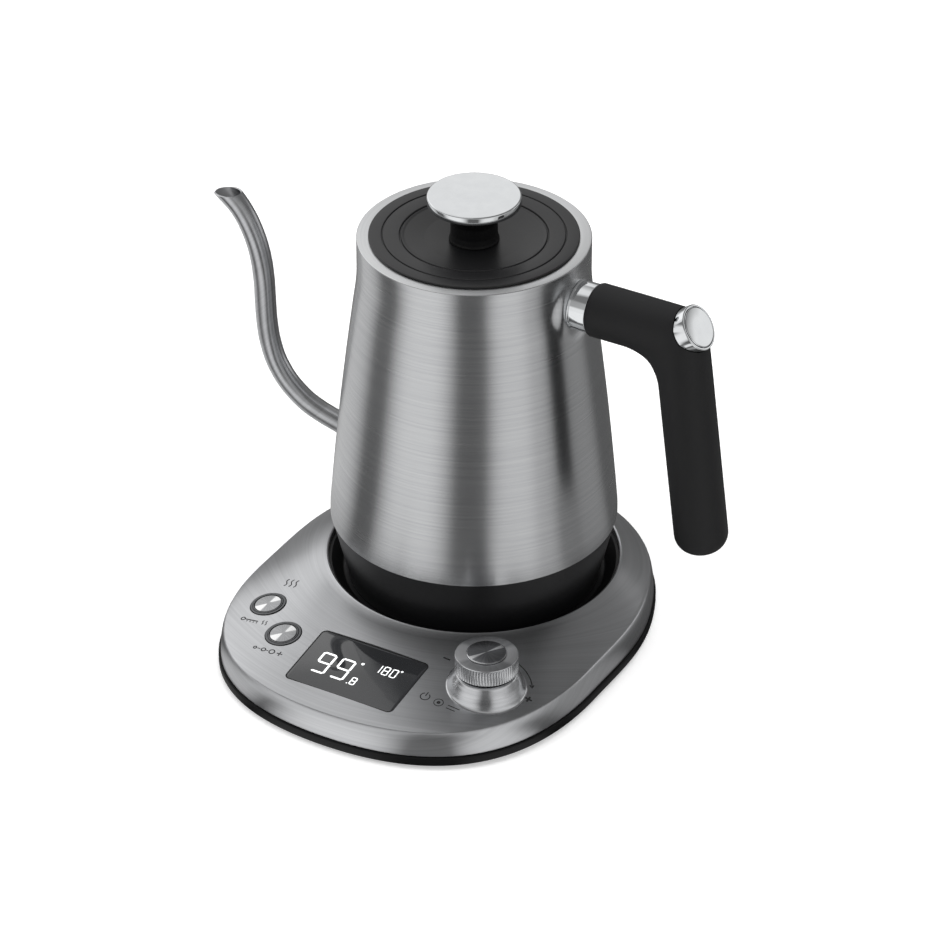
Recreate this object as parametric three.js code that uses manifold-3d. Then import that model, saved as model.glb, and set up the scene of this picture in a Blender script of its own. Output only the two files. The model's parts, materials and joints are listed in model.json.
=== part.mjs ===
import * as THREE from 'three';
import { mergeVertices } from 'three/addons/utils/BufferGeometryUtils.js';
import Module from 'manifold-3d';

const wasm = await Module();
wasm.setup();

// Gooseneck kettle on a control base. Millimetres, +Z up.
// While it is being built, the kettle axis is x = y = 0 and the table is z = 0.
// The handle points to +X, the spout to -X and the controls to -Y.
// Clearances and counts
const seatGap = 0.3; // between pieces that touch
const runGap = 0.6; // round what turns, slides or lifts out
const cutOverrun = 2; // how far a cutting tool reaches past what it cuts
const mergeSize = 1e-4;
const roundFaces = 28;
const mediumFaces = 16;
const smallFaces = 12;
const screwFaces = 6;
const outlineFaces = 40;
const cornerFaces = 3;
const degree = Math.PI / 180;

// Kettle: steel body and the black skirt under it
const steel = {
  bottomRadius: 65, kinkRadius: 51.3, coneHeight: 120.5, bulge: 0.95, collar: 19.8,
  wall: 0.9, rimWidth: 7.8, rimLip: 4, rimRound: 1.2,
};
const coneSteps = 3;
const rimInner = steel.kinkRadius - steel.rimWidth;
const skirt = {
  stepIn: 0.6, height: 28.3, taper: 6.7, wall: 2, spigot: 3, spigotWall: 2, bossRadius: 4.6, bossHeight: 10,
};
const skirtTopRadius = steel.bottomRadius - skirt.stepIn;
const skirtBottomRadius = skirtTopRadius - skirt.taper;

// The well takes the skirt, and the roof of the base runs up to the well
const dish = { clearance: 1.8, flare: 5.1, flange: 2.2, wall: 1.5, footBend: 1.1, depth: 5.1 };
const dishFootRadius = skirtBottomRadius + dish.clearance;
const dishTopRadius = dishFootRadius + dish.flare;
const cover = {
  wall: 1.6, sideInset: 1, edgeInset: 3.2, sideHeight: 11.5, rise: 9.1,
  reveal: 1.35, lipWidth: 1.5, lipDepth: 2.5,
};
const sideCurveShares = [[0, 0], [0.16, 0.62], [0.5, 0.9], [1, 1]];
const wellRadius = dishTopRadius + cover.reveal;
const roofRadius = wellRadius + cover.lipWidth;

// Plan of the base: a back arc round the kettle, long sides and a bowed front
const plan = {
  backRim: 15.55, backArcEnd: 25 * degree, arcHandle: 33.7,
  sideSwell: 4.2, widestY: -45.2, sideHandle: 31.8,
  frontReach: 66.35, cornerHandle: 52.6, frontHandle: 63.4,
};
const backRadius = roofRadius + plan.backRim;
const halfWidth = backRadius + plan.sideSwell;
const frontY = -roofRadius - plan.frontReach;

const foot = { height: 2.7, radius: 7, rearX: 50, rearY: 50, frontX: 60, fromFront: 41.8, recess: 1 };
const trayFloorZ = foot.height + seatGap - foot.recess;
const tray = { band: 4.3, floor: 2.4, wall: 2, lipInset: 4.2, lipHeight: 4, edgeRound: 0.9, postRadius: 2.6 };
const trayBandZ = trayFloorZ + tray.band;
const coverBottomZ = trayBandZ + seatGap;
const coverEdgeZ = coverBottomZ + cover.sideHeight;
const coverCrestZ = coverEdgeZ + cover.rise;
const dishTopZ = coverCrestZ - cover.lipDepth - seatGap;
const dishFloorZ = dishTopZ - dish.depth;

const power = {
  radius: 19, height: 12, flangeWidth: 4, flange: 1.5, pinBore: 3.2,
  slotInset: 7, slotWidth: 3, slotDepth: 8, round: 1,
};
const powerTopZ = dishFloorZ + power.height;
const slotOuter = power.radius - power.slotInset;
const slotInner = slotOuter - power.slotWidth;
const contact = { ringWall: 0.7, ringHeight: 4 };

// Controls on the cover: forward counts from the crest of the roof, beside from the end of the display
const display = {
  forward: 34.8, width: 53, depth: 33, corner: 2.4, thickness: 1.5, module: 3, margin: 3,
};
const displayY = -roofRadius - display.forward;
const button = {
  forward: 26.25, beside: 17.1, pitchX: 18.3, pitchY: 16.5,
  bezelRadius: 8.25, bezelWall: 1.05, bezelProud: 0.25, bezelDepth: 3.6, bezelFlange: 1,
  capTop: 0.5, capRound: 0.4, capHeight: 2.6, stemRadius: 1.6, rimWidth: 0.8, insetDepth: 0.25,
  stemLength: 1.6, travel: 0.8,
};
const frontButton = [-display.width / 2 - button.beside, -roofRadius - button.forward];
const rearButton = [frontButton[0] - button.pitchX, frontButton[1] + button.pitchY];
const knob = { forward: 15.65, beside: 27.7 };
const [knobX, knobY] = [display.width / 2 + knob.beside, -roofRadius - knob.forward];
const drum = {
  radius: 13.9, height: 8.1, teeth: 28, toothDepth: 0.45, travel: 0.8,
  wall: 3.7, hollowHeight: 4.6, rimRound: 0.8, rimWidth: 5.05, insertSeat: 1,
};
const insert = { thickness: 1.2, round: 0.3 };
const seatRadius = drum.radius - drum.rimWidth;
const pedestal = { neckInset: 0.6, flare: 5, height: 7.8, topRound: 0.6, roof: 2, wall: 2.9 };
// radius, height and how far the ring has come level with the neck
const pedestalShares = [
  [2.25, -0.25, 0], [1.6, 0, 0], [1.3, 0.03, 0.04], [1, 0.12, 0.15], [0.94, 0.3, 0.4],
  [0.72, 0.5, 0.65], [0.36, 0.68, 0.85], [0.1, 0.82, 0.95], [0, 1, 1],
];
const pedestalRadius = drum.radius - pedestal.neckInset;
const encoder = {
  side: 13, body: 6.2, bushing: 4.5, bushingBore: 3.7,
  rotorWall: 0.8, rotorHeight: 6, nutAcross: 11, nutHeight: 2, shaftRadius: 2.3, tipRadius: 3,
};
const board = { lift: 4.2, thickness: 1.6, inset: 8, clearance: 4.4 };
const boardZ = trayFloorZ + tray.floor + board.lift;
const boardTopZ = boardZ + board.thickness;
const pushSwitch = { side: 6, height: 3.2, plunger: 1.6, plungerHeight: 0.5 };
const powerBoard = { y: 18, width: 86, depth: 54, lift: 2.8, thickness: 1.6 };
const powerBoardZ = trayFloorZ + tray.floor + powerBoard.lift;
const relay = { fromEnd: 17, width: 19, depth: 15.5, height: 6.4 };
const buzzer = { beside: 7.1, behind: 18.5, radius: 6, height: 4.2, bore: 1 };
const post = { fromSide: 7, fromEnd: 9, beside: 23.1, behind: 20.5, fromFront: 13.8 };
const gland = { bore: 3.2, wall: 1, flangeWidth: 0.6, flange: 1.4, height: 5.2 };
const glandFlangeRadius = gland.bore + gland.wall + gland.flangeWidth;
const glandZ = trayBandZ + gland.height;
const caseScrew = {
  rearInset: 18.1, rearY: 21, frontInset: 20.1, frontY: -62,
  headRadius: 2.9, headHeight: 1.2, shankRadius: 1.3, shankLength: 7, bossRadius: 3.6,
};

// Under the kettle
const socket = { wall: 2.6, flangeReach: 5.2, flange: 2, roof: 3, pinRadius: 1.9, pinReach: 7 };
const socketRecess = power.radius + runGap;
const socketRoofZ = powerTopZ + runGap + seatGap;
const bottomCover = { thickness: 2.4, inset: 0.5 };
const bottomCoverZ = dishFloorZ + seatGap;
const bottomCoverHole = socketRecess + socket.wall + runGap;
const bottomScrew = {
  count: 3, inset: 5.7, headRadius: 2.6, headHeight: 1.2, shankRadius: 1.2, shankLength: 8,
};
const bottomScrewRing = skirtBottomRadius - bottomScrew.inset;
const skirtBottomZ = bottomCoverZ + bottomCover.thickness + seatGap;
const skirtTopZ = skirtBottomZ + skirt.height;
const steelBottomZ = skirtTopZ + seatGap;
const steelKinkZ = steelBottomZ + steel.coneHeight;
const rimZ = steelKinkZ + steel.collar;
const spigotRadius = steel.bottomRadius - steel.wall - 2 * seatGap;
const floorPlate = { thickness: 1.2, dish: 1.5, step: 12 };
const floorPlateZ = skirtTopZ + skirt.spigot + seatGap;
const heater = {
  edge: 10.1, plate: 3, tubeRadius: 3.3, tubeSink: 1, loopInset: 9.4, gapAngle: 50 * degree, legLength: 8,
};
const heaterRadius = spigotRadius - skirt.spigotWall - heater.edge;
const heaterSteps = 12;
const heaterFaces = 6;
const probe = { radius: 2.6, height: 13, headRadius: 5, headHeight: 2.2 };
const cutout = { radius: 8, height: 4.2, x: 24 };

// Spout: the line runs from its root on the body to the middle of the oblique mouth
const spout = {
  rootHeight: 20.4, sink: 0.2, reach: 64, rise: 105.9,
  radius: 4.85, wall: 0.8, tipFlare: 0.6, tipTilt: 9 * degree,
};
const spoutFaces = 10;
const spoutSteps = 22;
const spoutShares = [
  [-0.08, -0.012], [0, 0], [0.155, 0.024], [0.278, 0.046], [0.403, 0.08], [0.544, 0.15], [0.6375, 0.236],
  [0.686, 0.326], [0.709, 0.422], [0.717, 0.52], [0.723, 0.6185], [0.741, 0.713], [0.78, 0.8045],
  [0.844, 0.8905], [0.914, 0.951], [1, 1], [1.13, 1.068],
];
const flareShares = [0.85, 1];
const spoutRootZ = steelBottomZ + spout.rootHeight;

// Handle: arm, elbow and grip in one piece, carried by the ferrule on the drawn boss
const handle = {
  aboveKink: 0.6, arm: 41.2, radius: 12, crook: 16, lean: 7.4 * degree, length: 108,
  endRound: 9, mouthRound: 0.8,
};
const gripFaces = 16;
const gripArmSteps = 2;
const gripBendSteps = 9;
const gripEndSteps = 4;
const ferrule = { inset: 1, root: 0.4, rootHeight: 1, length: 7.3 };
const ferruleRadius = handle.radius - ferrule.inset;
const boss = { height: 1.6, spread: 6.1 };
const bossRadius = ferruleRadius + ferrule.root;
const bossShares = [[0, 1], [0.06, 0.93], [0.2, 0.7], [0.42, 0.4], [0.7, 0.14], [1, -0.25]];
const handleZ = steelKinkZ + handle.aboveKink;
const ferruleX = steel.kinkRadius + boss.height + seatGap;
const sleeveX = ferruleX + ferrule.length + seatGap;
const cornerX = sleeveX + handle.arm;
const stud = { radius: 5, fromCorner: 7, holeDepth: 14 };
const studEnd = cornerX - stud.fromCorner;
const handleScrew = { headRadius: 4.2, headHeight: 3, shankRadius: 2, shankLength: 12, web: 2.4 };
const cap = {
  angle: 35 * degree, inset: 1.75, sink: 1.7, depth: 6.2, ringWall: 1.3, disc: 1.6, proud: 0.35, round: 0.5,
};
const capRadius = handle.radius - cap.inset;
const capReach = handle.radius - cap.sink;
const capDiscRadius = capRadius - cap.ringWall;

// Lid
const lid = {
  overhang: 2.6, edge: 1.2, plugGap: 1.2, plugWall: 1.7, plugDepth: 12.5, skin: 1.7,
  outerInset: 6, innerInset: 13.9, grooveWidth: 0.8, grooveDepth: 0.6, dish: 2.6, screwHole: 1.9,
  sealZ: 3.5, sealHeight: 1.8, sealDepth: 1.2,
};
const panCurveShares = [[0.5, 0.3], [0.9, 0.88]];
const lidRadius = rimInner + lid.overhang;
const plugRadius = rimInner - lid.plugGap;
const outerGroove = lidRadius - lid.outerInset;
const innerGroove = lidRadius - lid.innerInset;
const lidBottomZ = rimZ + seatGap;
const lidTopZ = lidBottomZ + lid.edge;
const lidPanZ = lidTopZ - lid.dish - lid.grooveDepth / 2;
const neck = {
  bottomRadius: 11, waistRadius: 10.2, topRadius: 12.1, height: 17.1, spigotRadius: 6, spigot: 1.5,
};
const neckShares = [[0.8, 0], [0.5, 0.06], [0, 0.22], [0, 0.5], [0.3, 0.72], [0.7, 0.9]];
const neckZ = lidPanZ + seatGap;
const neckTopZ = neckZ + neck.height;
const lidKnob = { radius: 20.6, thickness: 3.8, round: 0.7 };
const lidScrew = { headRadius: 3.2, headHeight: 2, shankRadius: 1.5, shankLength: 12 };
const liner = { thickness: 0.9, rim: 2.7 };

const finishes = {
  brushedSteel: { color: 0x9c9ea0, roughness: 0.38, metalness: 1 },
  chrome: { color: 0xd9dbdd, roughness: 0.06, metalness: 1 },
  plainSteel: { color: 0xaeb0b2, roughness: 0.3, metalness: 1 },
  blackPlastic: { color: 0x1f1f21, roughness: 0.5, metalness: 0 },
  softBlack: { color: 0x222224, roughness: 0.62, metalness: 0 },
  rubber: { color: 0x1a1a1a, roughness: 0.85, metalness: 0 },
  silicone: { color: 0xc9cbc8, roughness: 0.6, metalness: 0 },
  smokedWindow: { color: 0x46494c, roughness: 0.12, metalness: 0 },
  circuitBoard: { color: 0x1e5b3c, roughness: 0.6, metalness: 0 },
  brass: { color: 0xb28d45, roughness: 0.35, metalness: 1 },
  aluminium: { color: 0xb9bbbd, roughness: 0.45, metalness: 1 },
  relayBlue: { color: 0x27579a, roughness: 0.5, metalness: 0 },
};

// Closed bodies

function bareMerged(geometry) {
  const bare = geometry.clone();
  bare.deleteAttribute('normal');
  bare.deleteAttribute('uv');
  const merged = mergeVertices(bare, mergeSize);
  const from = merged.index.array;
  const kept = [];
  for (let i = 0; i < from.length; i += 3) {
    const [a, b, c] = [from[i], from[i + 1], from[i + 2]];
    if (a !== b && b !== c && c !== a) kept.push(a, b, c);
  }
  merged.setIndex(kept);
  return merged;
}

// Turns the faces round if the body is inside out
function facingOut(geometry) {
  const merged = bareMerged(geometry);
  const [a, b, c] = [new THREE.Vector3(), new THREE.Vector3(), new THREE.Vector3()];
  const place = merged.attributes.position;
  const index = Array.from(merged.index.array);
  let volume = 0;
  for (let i = 0; i < index.length; i += 3) {
    a.fromBufferAttribute(place, index[i]);
    b.fromBufferAttribute(place, index[i + 1]);
    c.fromBufferAttribute(place, index[i + 2]);
    volume += a.dot(b.cross(c));
  }
  if (volume < 0) merged.setIndex(index.reverse());
  return merged;
}

function toSolid(geometry) {
  const merged = facingOut(geometry);
  return new wasm.Manifold(new wasm.Mesh({
    numProp: 3,
    vertProperties: merged.attributes.position.array,
    triVerts: new Uint32Array(merged.index.array),
  }));
}

function toGeometry(solid) {
  const mesh = solid.getMesh();
  const geometry = new THREE.BufferGeometry();
  geometry.setAttribute('position', new THREE.BufferAttribute(new Float32Array(mesh.vertProperties), 3));
  geometry.setIndex(Array.from(mesh.triVerts));
  return bareMerged(geometry);
}

function join(first, ...others) {
  return toGeometry(others.reduce((whole, other) => whole.add(toSolid(other)), toSolid(first)));
}

function cut(first, ...tools) {
  return toGeometry(tools.reduce((rest, tool) => rest.subtract(toSolid(tool)), toSolid(first)));
}

function common(first, second) {
  return toGeometry(toSolid(first).intersect(toSolid(second)));
}

// A body turned round Z from [radius, z] points that start and end on the axis
function turned(profile, faces = roundFaces) {
  const points = profile.map(([radius, z]) => new THREE.Vector2(radius, z));
  return facingOut(new THREE.LatheGeometry(points, faces).rotateX(Math.PI / 2));
}

function turnedRing(profile, faces = roundFaces) {
  return turned([...profile, profile[0]], faces);
}

function cylinder(radius, lowZ, highZ, faces = smallFaces) {
  return turned([[0, lowZ], [radius, lowZ], [radius, highZ], [0, highZ]], faces);
}

function box(width, depth, height) {
  return new THREE.BoxGeometry(width, depth, height);
}

function plate(width, depth, corner, lowZ, highZ) {
  const shape = new THREE.Shape();
  const [x, y] = [width / 2, depth / 2];
  shape.moveTo(corner - x, -y);
  shape.lineTo(x - corner, -y);
  shape.absarc(x - corner, corner - y, corner, -Math.PI / 2, 0);
  shape.absarc(x - corner, y - corner, corner, 0, Math.PI / 2);
  shape.absarc(corner - x, y - corner, corner, Math.PI / 2, Math.PI);
  shape.absarc(corner - x, corner - y, corner, Math.PI, 1.5 * Math.PI);
  const depthZ = highZ - lowZ;
  return new THREE.ExtrudeGeometry(shape, { depth: depthZ, bevelEnabled: false, curveSegments: cornerFaces })
    .translate(0, 0, lowZ);
}

// A body through rings of points: joined end to end, or closed by a fan at each end
function ringLoft(rings, joinsItself = false) {
  const count = rings[0].length;
  const points = rings.flat();
  const index = [];
  const bands = joinsItself ? rings.length : rings.length - 1;
  for (let ring = 0; ring < bands; ring++) {
    const [here, there] = [ring * count, ((ring + 1) % rings.length) * count];
    for (let i = 0; i < count; i++) {
      const j = (i + 1) % count;
      index.push(here + i, here + j, there + j, here + i, there + j, there + i);
    }
  }
  if (!joinsItself) {
    for (const [ring, turn] of [[0, 1], [rings.length - 1, 0]]) {
      const middle = rings[ring].reduce((sum, p) => sum.add(p), new THREE.Vector3()).divideScalar(count);
      points.push(middle);
      for (let i = 0; i < count; i++) {
        const [a, b] = [ring * count + i, ring * count + (i + 1) % count];
        index.push(points.length - 1, turn ? b : a, turn ? a : b);
      }
    }
  }
  const geometry = new THREE.BufferGeometry().setFromPoints(points);
  geometry.setIndex(index);
  return facingOut(geometry);
}

// Plan of the base

const planPoints = (() => {
  const shape = new THREE.Shape();
  const [arcX, arcY] = [backRadius * Math.cos(plan.backArcEnd), backRadius * Math.sin(plan.backArcEnd)];
  const alongX = plan.arcHandle * Math.sin(plan.backArcEnd);
  const alongY = plan.arcHandle * Math.cos(plan.backArcEnd);
  shape.moveTo(arcX, arcY);
  shape.absarc(0, 0, backRadius, plan.backArcEnd, Math.PI - plan.backArcEnd);
  for (const side of [-1, 1]) {
    const near = [side * (arcX + alongX), arcY - alongY];
    const wide = [side * halfWidth, plan.widestY];
    const above = [wide[0], plan.widestY + plan.sideHandle];
    const below = [wide[0], plan.widestY - plan.cornerHandle];
    const beside = [side * plan.frontHandle, frontY];
    if (side < 0) {
      shape.bezierCurveTo(...near, ...above, ...wide);
      shape.bezierCurveTo(...below, ...beside, 0, frontY);
    } else {
      shape.bezierCurveTo(...beside, ...below, ...wide);
      shape.bezierCurveTo(...above, ...near, side * arcX, arcY);
    }
  }
  return shape.getSpacedPoints(outlineFaces).slice(0, outlineFaces);
})();

function planInset(inset) {
  return planPoints.map((point, i) => {
    const before = planPoints[(i + outlineFaces - 1) % outlineFaces];
    const after = planPoints[(i + 1) % outlineFaces];
    const along = after.clone().sub(before).normalize();
    return new THREE.Vector2(point.x - along.y * inset, point.y + along.x * inset);
  });
}

function planRing(inset, z) {
  return planInset(inset).map((point) => new THREE.Vector3(point.x, point.y, z));
}

const edgeRing = planInset(cover.edgeInset);

// A circle round the well, with its points facing those of the outline
function wellRing(radius, z) {
  return edgeRing.map((point) => {
    const direction = point.clone().normalize();
    return new THREE.Vector3(direction.x * radius, direction.y * radius, z);
  });
}

// Height of the roof over a place in plan
function roofZ(x, y) {
  const place = new THREE.Vector2(x, y);
  const direction = place.clone().normalize();
  let edge = backRadius;
  edgeRing.forEach((a, i) => {
    const b = edgeRing[(i + 1) % outlineFaces];
    const span = b.clone().sub(a);
    const turn = direction.cross(span);
    const along = a.cross(span) / turn;
    const share = a.cross(direction) / turn;
    if (along > 0 && share >= 0 && share <= 1) edge = along;
  });
  return coverEdgeZ + cover.rise * (edge - place.length()) / (edge - roofRadius);
}

// Place and lean of something that sits square on the roof
function roofSeat(x, y, step = seatGap) {
  const slopeX = (roofZ(x + step, y) - roofZ(x - step, y)) / (2 * step);
  const slopeY = (roofZ(x, y + step) - roofZ(x, y - step)) / (2 * step);
  const normal = new THREE.Vector3(-slopeX, -slopeY, 1).normalize();
  const seat = new THREE.Group();
  seat.position.set(x, y, roofZ(x, y));
  seat.quaternion.setFromUnitVectors(new THREE.Vector3(0, 0, 1), normal);
  return seat;
}

function moved(geometry, seat) {
  seat.updateMatrix();
  return geometry.clone().applyMatrix4(seat.matrix);
}

// The display is flat: its plane passes through the roof at the window's corners
function displaySeat() {
  const [x, y] = [display.width / 2, display.depth / 2];
  const frontZ = roofZ(x, displayY - y);
  const backZ = roofZ(x, displayY + y);
  const seat = new THREE.Group();
  seat.position.set(0, displayY, (frontZ + backZ) / 2);
  seat.rotation.x = Math.atan2(backZ - frontZ, display.depth);
  return seat;
}

// Base

const screenSeat = displaySeat();
const rearSeat = roofSeat(...rearButton);
const frontSeat = roofSeat(...frontButton);
const knobZ = roofZ(knobX, knobY) + pedestal.height;
const knobBottomZ = knobZ + drum.travel + seatGap;

function shellRings(shrink) {
  const shares = shrink ? [sideCurveShares[0], ...sideCurveShares.slice(-1)] : sideCurveShares;
  const side = shares.map(([insetShare, heightShare]) => {
    const inset = cover.sideInset + (cover.edgeInset - cover.sideInset) * insetShare + shrink;
    return planRing(inset, THREE.MathUtils.lerp(coverBottomZ, coverEdgeZ - shrink, heightShare));
  });
  return [...side, wellRing(roofRadius, coverCrestZ - shrink)];
}

// All the space under the roof, down past the bottom edge
function insideSolid() {
  const bottom = planRing(cover.sideInset + cover.wall, coverBottomZ - cutOverrun);
  return ringLoft([bottom, ...shellRings(cover.wall)]);
}

function lipRings() {
  const round = cover.lipWidth / 2;
  const lowZ = coverCrestZ - cover.lipDepth;
  return [
    wellRing(wellRadius + round, coverCrestZ + round / 3), wellRing(wellRadius, coverCrestZ - round / 2),
    wellRing(wellRadius, lowZ), wellRing(roofRadius, lowZ),
  ];
}

// The foot of the pedestal follows the sloped roof, and its neck ends level
function pedestalSolid() {
  const straight = pedestal.height - pedestal.topRound;
  const centreZ = knobZ - pedestal.height;
  const ringAt = (radius, height, level) => Array.from({ length: mediumFaces }, (_, k) => {
    const angle = (2 * Math.PI * k) / mediumFaces;
    const [x, y] = [knobX + radius * Math.cos(angle), knobY + radius * Math.sin(angle)];
    return new THREE.Vector3(x, y, THREE.MathUtils.lerp(roofZ(x, y), centreZ, level) + height);
  });
  const side = pedestalShares.map(([radiusShare, heightShare, levelShare]) => (
    ringAt(pedestalRadius + pedestal.flare * radiusShare, straight * heightShare, levelShare)));
  return ringLoft([...side, ringAt(pedestalRadius - pedestal.topRound, pedestal.height, 1)]);
}

const pedestalBore = pedestalRadius - pedestal.wall;

function screwPlaces() {
  const [rearX, frontX] = [halfWidth - caseScrew.rearInset, halfWidth - caseScrew.frontInset];
  const { rearY, frontY: sideY } = caseScrew;
  return [[rearX, rearY], [-rearX, rearY], [frontX, sideY], [-frontX, sideY]];
}

function screwBoss([x, y]) {
  return cylinder(caseScrew.bossRadius, coverBottomZ, coverCrestZ, screwFaces).translate(x, y, 0);
}

function screwBore([x, y]) {
  const depth = trayFloorZ + tray.floor + caseScrew.shankLength;
  return cylinder(caseScrew.shankRadius + seatGap, coverBottomZ - cutOverrun * 2, depth, screwFaces)
    .translate(x, y, 0);
}

function baseCover() {
  const windowCut = plate(display.width + 2 * seatGap, display.depth + 2 * seatGap, display.corner,
    -display.thickness - cover.wall - cutOverrun, cutOverrun);
  const buttonCut = cylinder(button.bezelRadius + seatGap, -button.bezelDepth, cutOverrun, mediumFaces);
  const encoderBore = cylinder(pedestalBore, coverBottomZ - cutOverrun, knobZ - pedestal.roof, mediumFaces)
    .translate(knobX, knobY, 0);
  const bushingBore = cylinder(encoder.bushing + seatGap, coverBottomZ, knobZ + cutOverrun, smallFaces)
    .translate(knobX, knobY, 0);
  const glandReach = cover.wall * 2 + cutOverrun * 2;
  const glandBore = cylinder(gland.bore + gland.wall + seatGap, 0, glandReach, smallFaces)
    .rotateX(-Math.PI / 2).translate(0, backRadius - cover.wall * 2 - cutOverrun, glandZ);
  const shell = ringLoft([...shellRings(0), ...lipRings(), ...shellRings(cover.wall).reverse()], true);
  const outline = ringLoft(shellRings(0));
  const bosses = screwPlaces().map((place) => common(screwBoss(place), outline));
  const solid = join(shell, cut(pedestalSolid(), insideSolid()), ...bosses);
  return cut(solid, moved(windowCut, screenSeat), encoderBore, bushingBore, glandBore,
    ...[rearSeat, frontSeat].map((seat) => moved(buttonCut, seat)), ...screwPlaces().map(screwBore));
}

function footPlaces() {
  const y = frontY + foot.fromFront;
  return [[foot.rearX, foot.rearY], [-foot.rearX, foot.rearY], [foot.frontX, y], [-foot.frontX, y]];
}

// Posts under the corners of the power board and under the control board
function postPlaces() {
  const [x, y] = [powerBoard.width / 2 - post.fromSide, powerBoard.depth / 2 - post.fromEnd];
  const corners = [[-x, y], [x, y], [-x, -y], [x, -y]];
  const [besideX, besideY] = [display.width / 2 + post.beside, displayY + post.behind];
  const front = [[-besideX, besideY], [besideX, besideY], [0, frontY + post.fromFront]];
  return [
    ...corners.map(([a, b]) => [a, powerBoard.y + b, powerBoardZ]),
    ...front.map(([a, b]) => [a, b, boardZ]),
  ];
}

function baseTray() {
  const [lowZ, inside] = [trayFloorZ, tray.lipInset + tray.wall];
  const body = ringLoft([
    planRing(tray.edgeRound, lowZ), planRing(0, lowZ + tray.edgeRound), planRing(0, trayBandZ),
    planRing(tray.lipInset, trayBandZ), planRing(tray.lipInset, trayBandZ + tray.lipHeight),
    planRing(inside, trayBandZ + tray.lipHeight), planRing(inside, lowZ + tray.floor),
  ]);
  const posts = postPlaces().map(([x, y, carriedZ]) => (
    cylinder(tray.postRadius, lowZ + tray.floor / 2, carriedZ - seatGap, screwFaces).translate(x, y, 0)));
  const at = (places, radius, fromZ, toZ, faces) => (
    places.map(([x, y]) => cylinder(radius, fromZ, toZ, faces).translate(x, y, 0)));
  const [footAt, screwAt] = [footPlaces(), screwPlaces()];
  const screwPosts = at(screwAt, caseScrew.bossRadius, lowZ + tray.floor / 2, coverBottomZ - seatGap, screwFaces);
  const recesses = at(footAt, foot.radius + seatGap, lowZ - cutOverrun, lowZ + foot.recess, smallFaces);
  const headZ = lowZ + caseScrew.headHeight + seatGap;
  const heads = at(screwAt, caseScrew.headRadius + seatGap, lowZ - cutOverrun, headZ, screwFaces);
  const shankTopZ = coverBottomZ + cutOverrun;
  const shanks = at(screwAt, caseScrew.shankRadius + seatGap, lowZ - cutOverrun, shankTopZ, screwFaces);
  const glandWay = cylinder(glandFlangeRadius + seatGap, 0, backRadius, smallFaces)
    .rotateX(-Math.PI / 2).translate(0, backRadius / 2, glandZ);
  return cut(join(body, ...posts, ...screwPosts), ...recesses, ...heads, ...shanks, glandWay);
}

function wellDish() {
  const [topZ, floorZ, wall] = [dishTopZ, dishFloorZ, dish.wall];
  const flangeRadius = dishTopRadius + dish.flange;
  const hole = power.radius + seatGap;
  return turnedRing([
    [hole, floorZ], [dishFootRadius, floorZ], [dishFootRadius + dish.footBend, floorZ + dish.footBend],
    [dishTopRadius, topZ], [flangeRadius, topZ], [flangeRadius, topZ - wall],
    [dishTopRadius + wall, topZ - wall], [dishFootRadius + dish.footBend + wall, floorZ],
    [dishFootRadius + wall, floorZ - wall], [hole, floorZ - wall],
  ]);
}

function powerBoss() {
  const flangeTopZ = dishFloorZ - dish.wall - seatGap;
  const lowZ = flangeTopZ - power.flange;
  const slotZ = powerTopZ - power.slotDepth;
  const flangeRadius = power.radius + power.flangeWidth;
  return turnedRing([
    [power.pinBore, lowZ], [flangeRadius, lowZ], [flangeRadius, flangeTopZ], [power.radius, flangeTopZ],
    [power.radius, powerTopZ - power.round], [power.radius - power.round, powerTopZ], [slotOuter, powerTopZ],
    [slotOuter, slotZ], [slotInner, slotZ], [slotInner, powerTopZ], [power.pinBore, powerTopZ],
  ], mediumFaces);
}

function centreContact() {
  const lowZ = dishFloorZ - dish.wall - seatGap - power.flange;
  return cylinder(power.pinBore - seatGap, lowZ, powerTopZ - socket.pinReach - runGap);
}

function ringContact() {
  const lowZ = powerTopZ - power.slotDepth + seatGap;
  const outer = slotOuter - seatGap;
  return turnedRing([[outer - contact.ringWall, lowZ], [outer, lowZ], [outer, lowZ + contact.ringHeight],
    [outer - contact.ringWall, lowZ + contact.ringHeight]], mediumFaces);
}

function displayWindow() {
  return plate(display.width, display.depth, display.corner, -display.thickness, 0);
}

function displayModule() {
  const topZ = -display.thickness - seatGap;
  return box(display.width - display.margin, display.depth - display.margin, display.module)
    .translate(0, 0, topZ - display.module / 2);
}

function controlBoard() {
  const slab = ringLoft([planRing(board.inset, boardZ), planRing(board.inset, boardTopZ)]);
  const reach = caseScrew.frontY - caseScrew.bossRadius - board.clearance - frontY;
  const front = box(halfWidth * 2, reach, board.thickness * 2 + cutOverrun)
    .translate(0, frontY + reach / 2, boardZ);
  return common(slab, front);
}

function powerBoardPlate() {
  return box(powerBoard.width, powerBoard.depth, powerBoard.thickness)
    .translate(0, powerBoard.y, powerBoardZ + powerBoard.thickness / 2);
}

function relayBlock() {
  const lowZ = powerBoardZ + powerBoard.thickness + seatGap;
  return box(relay.width, relay.depth, relay.height)
    .translate(relay.fromEnd - powerBoard.width / 2, powerBoard.y, lowZ + relay.height / 2);
}

function buzzerCan() {
  const lowZ = boardTopZ + seatGap;
  const highZ = lowZ + buzzer.height;
  const can = cylinder(buzzer.radius, lowZ, highZ);
  const mouth = cylinder(buzzer.bore, highZ - buzzer.height / 2, highZ + cutOverrun, screwFaces);
  return cut(can, mouth)
    .translate(-display.width / 2 - buzzer.beside, displayY + buzzer.behind, 0);
}

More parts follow.
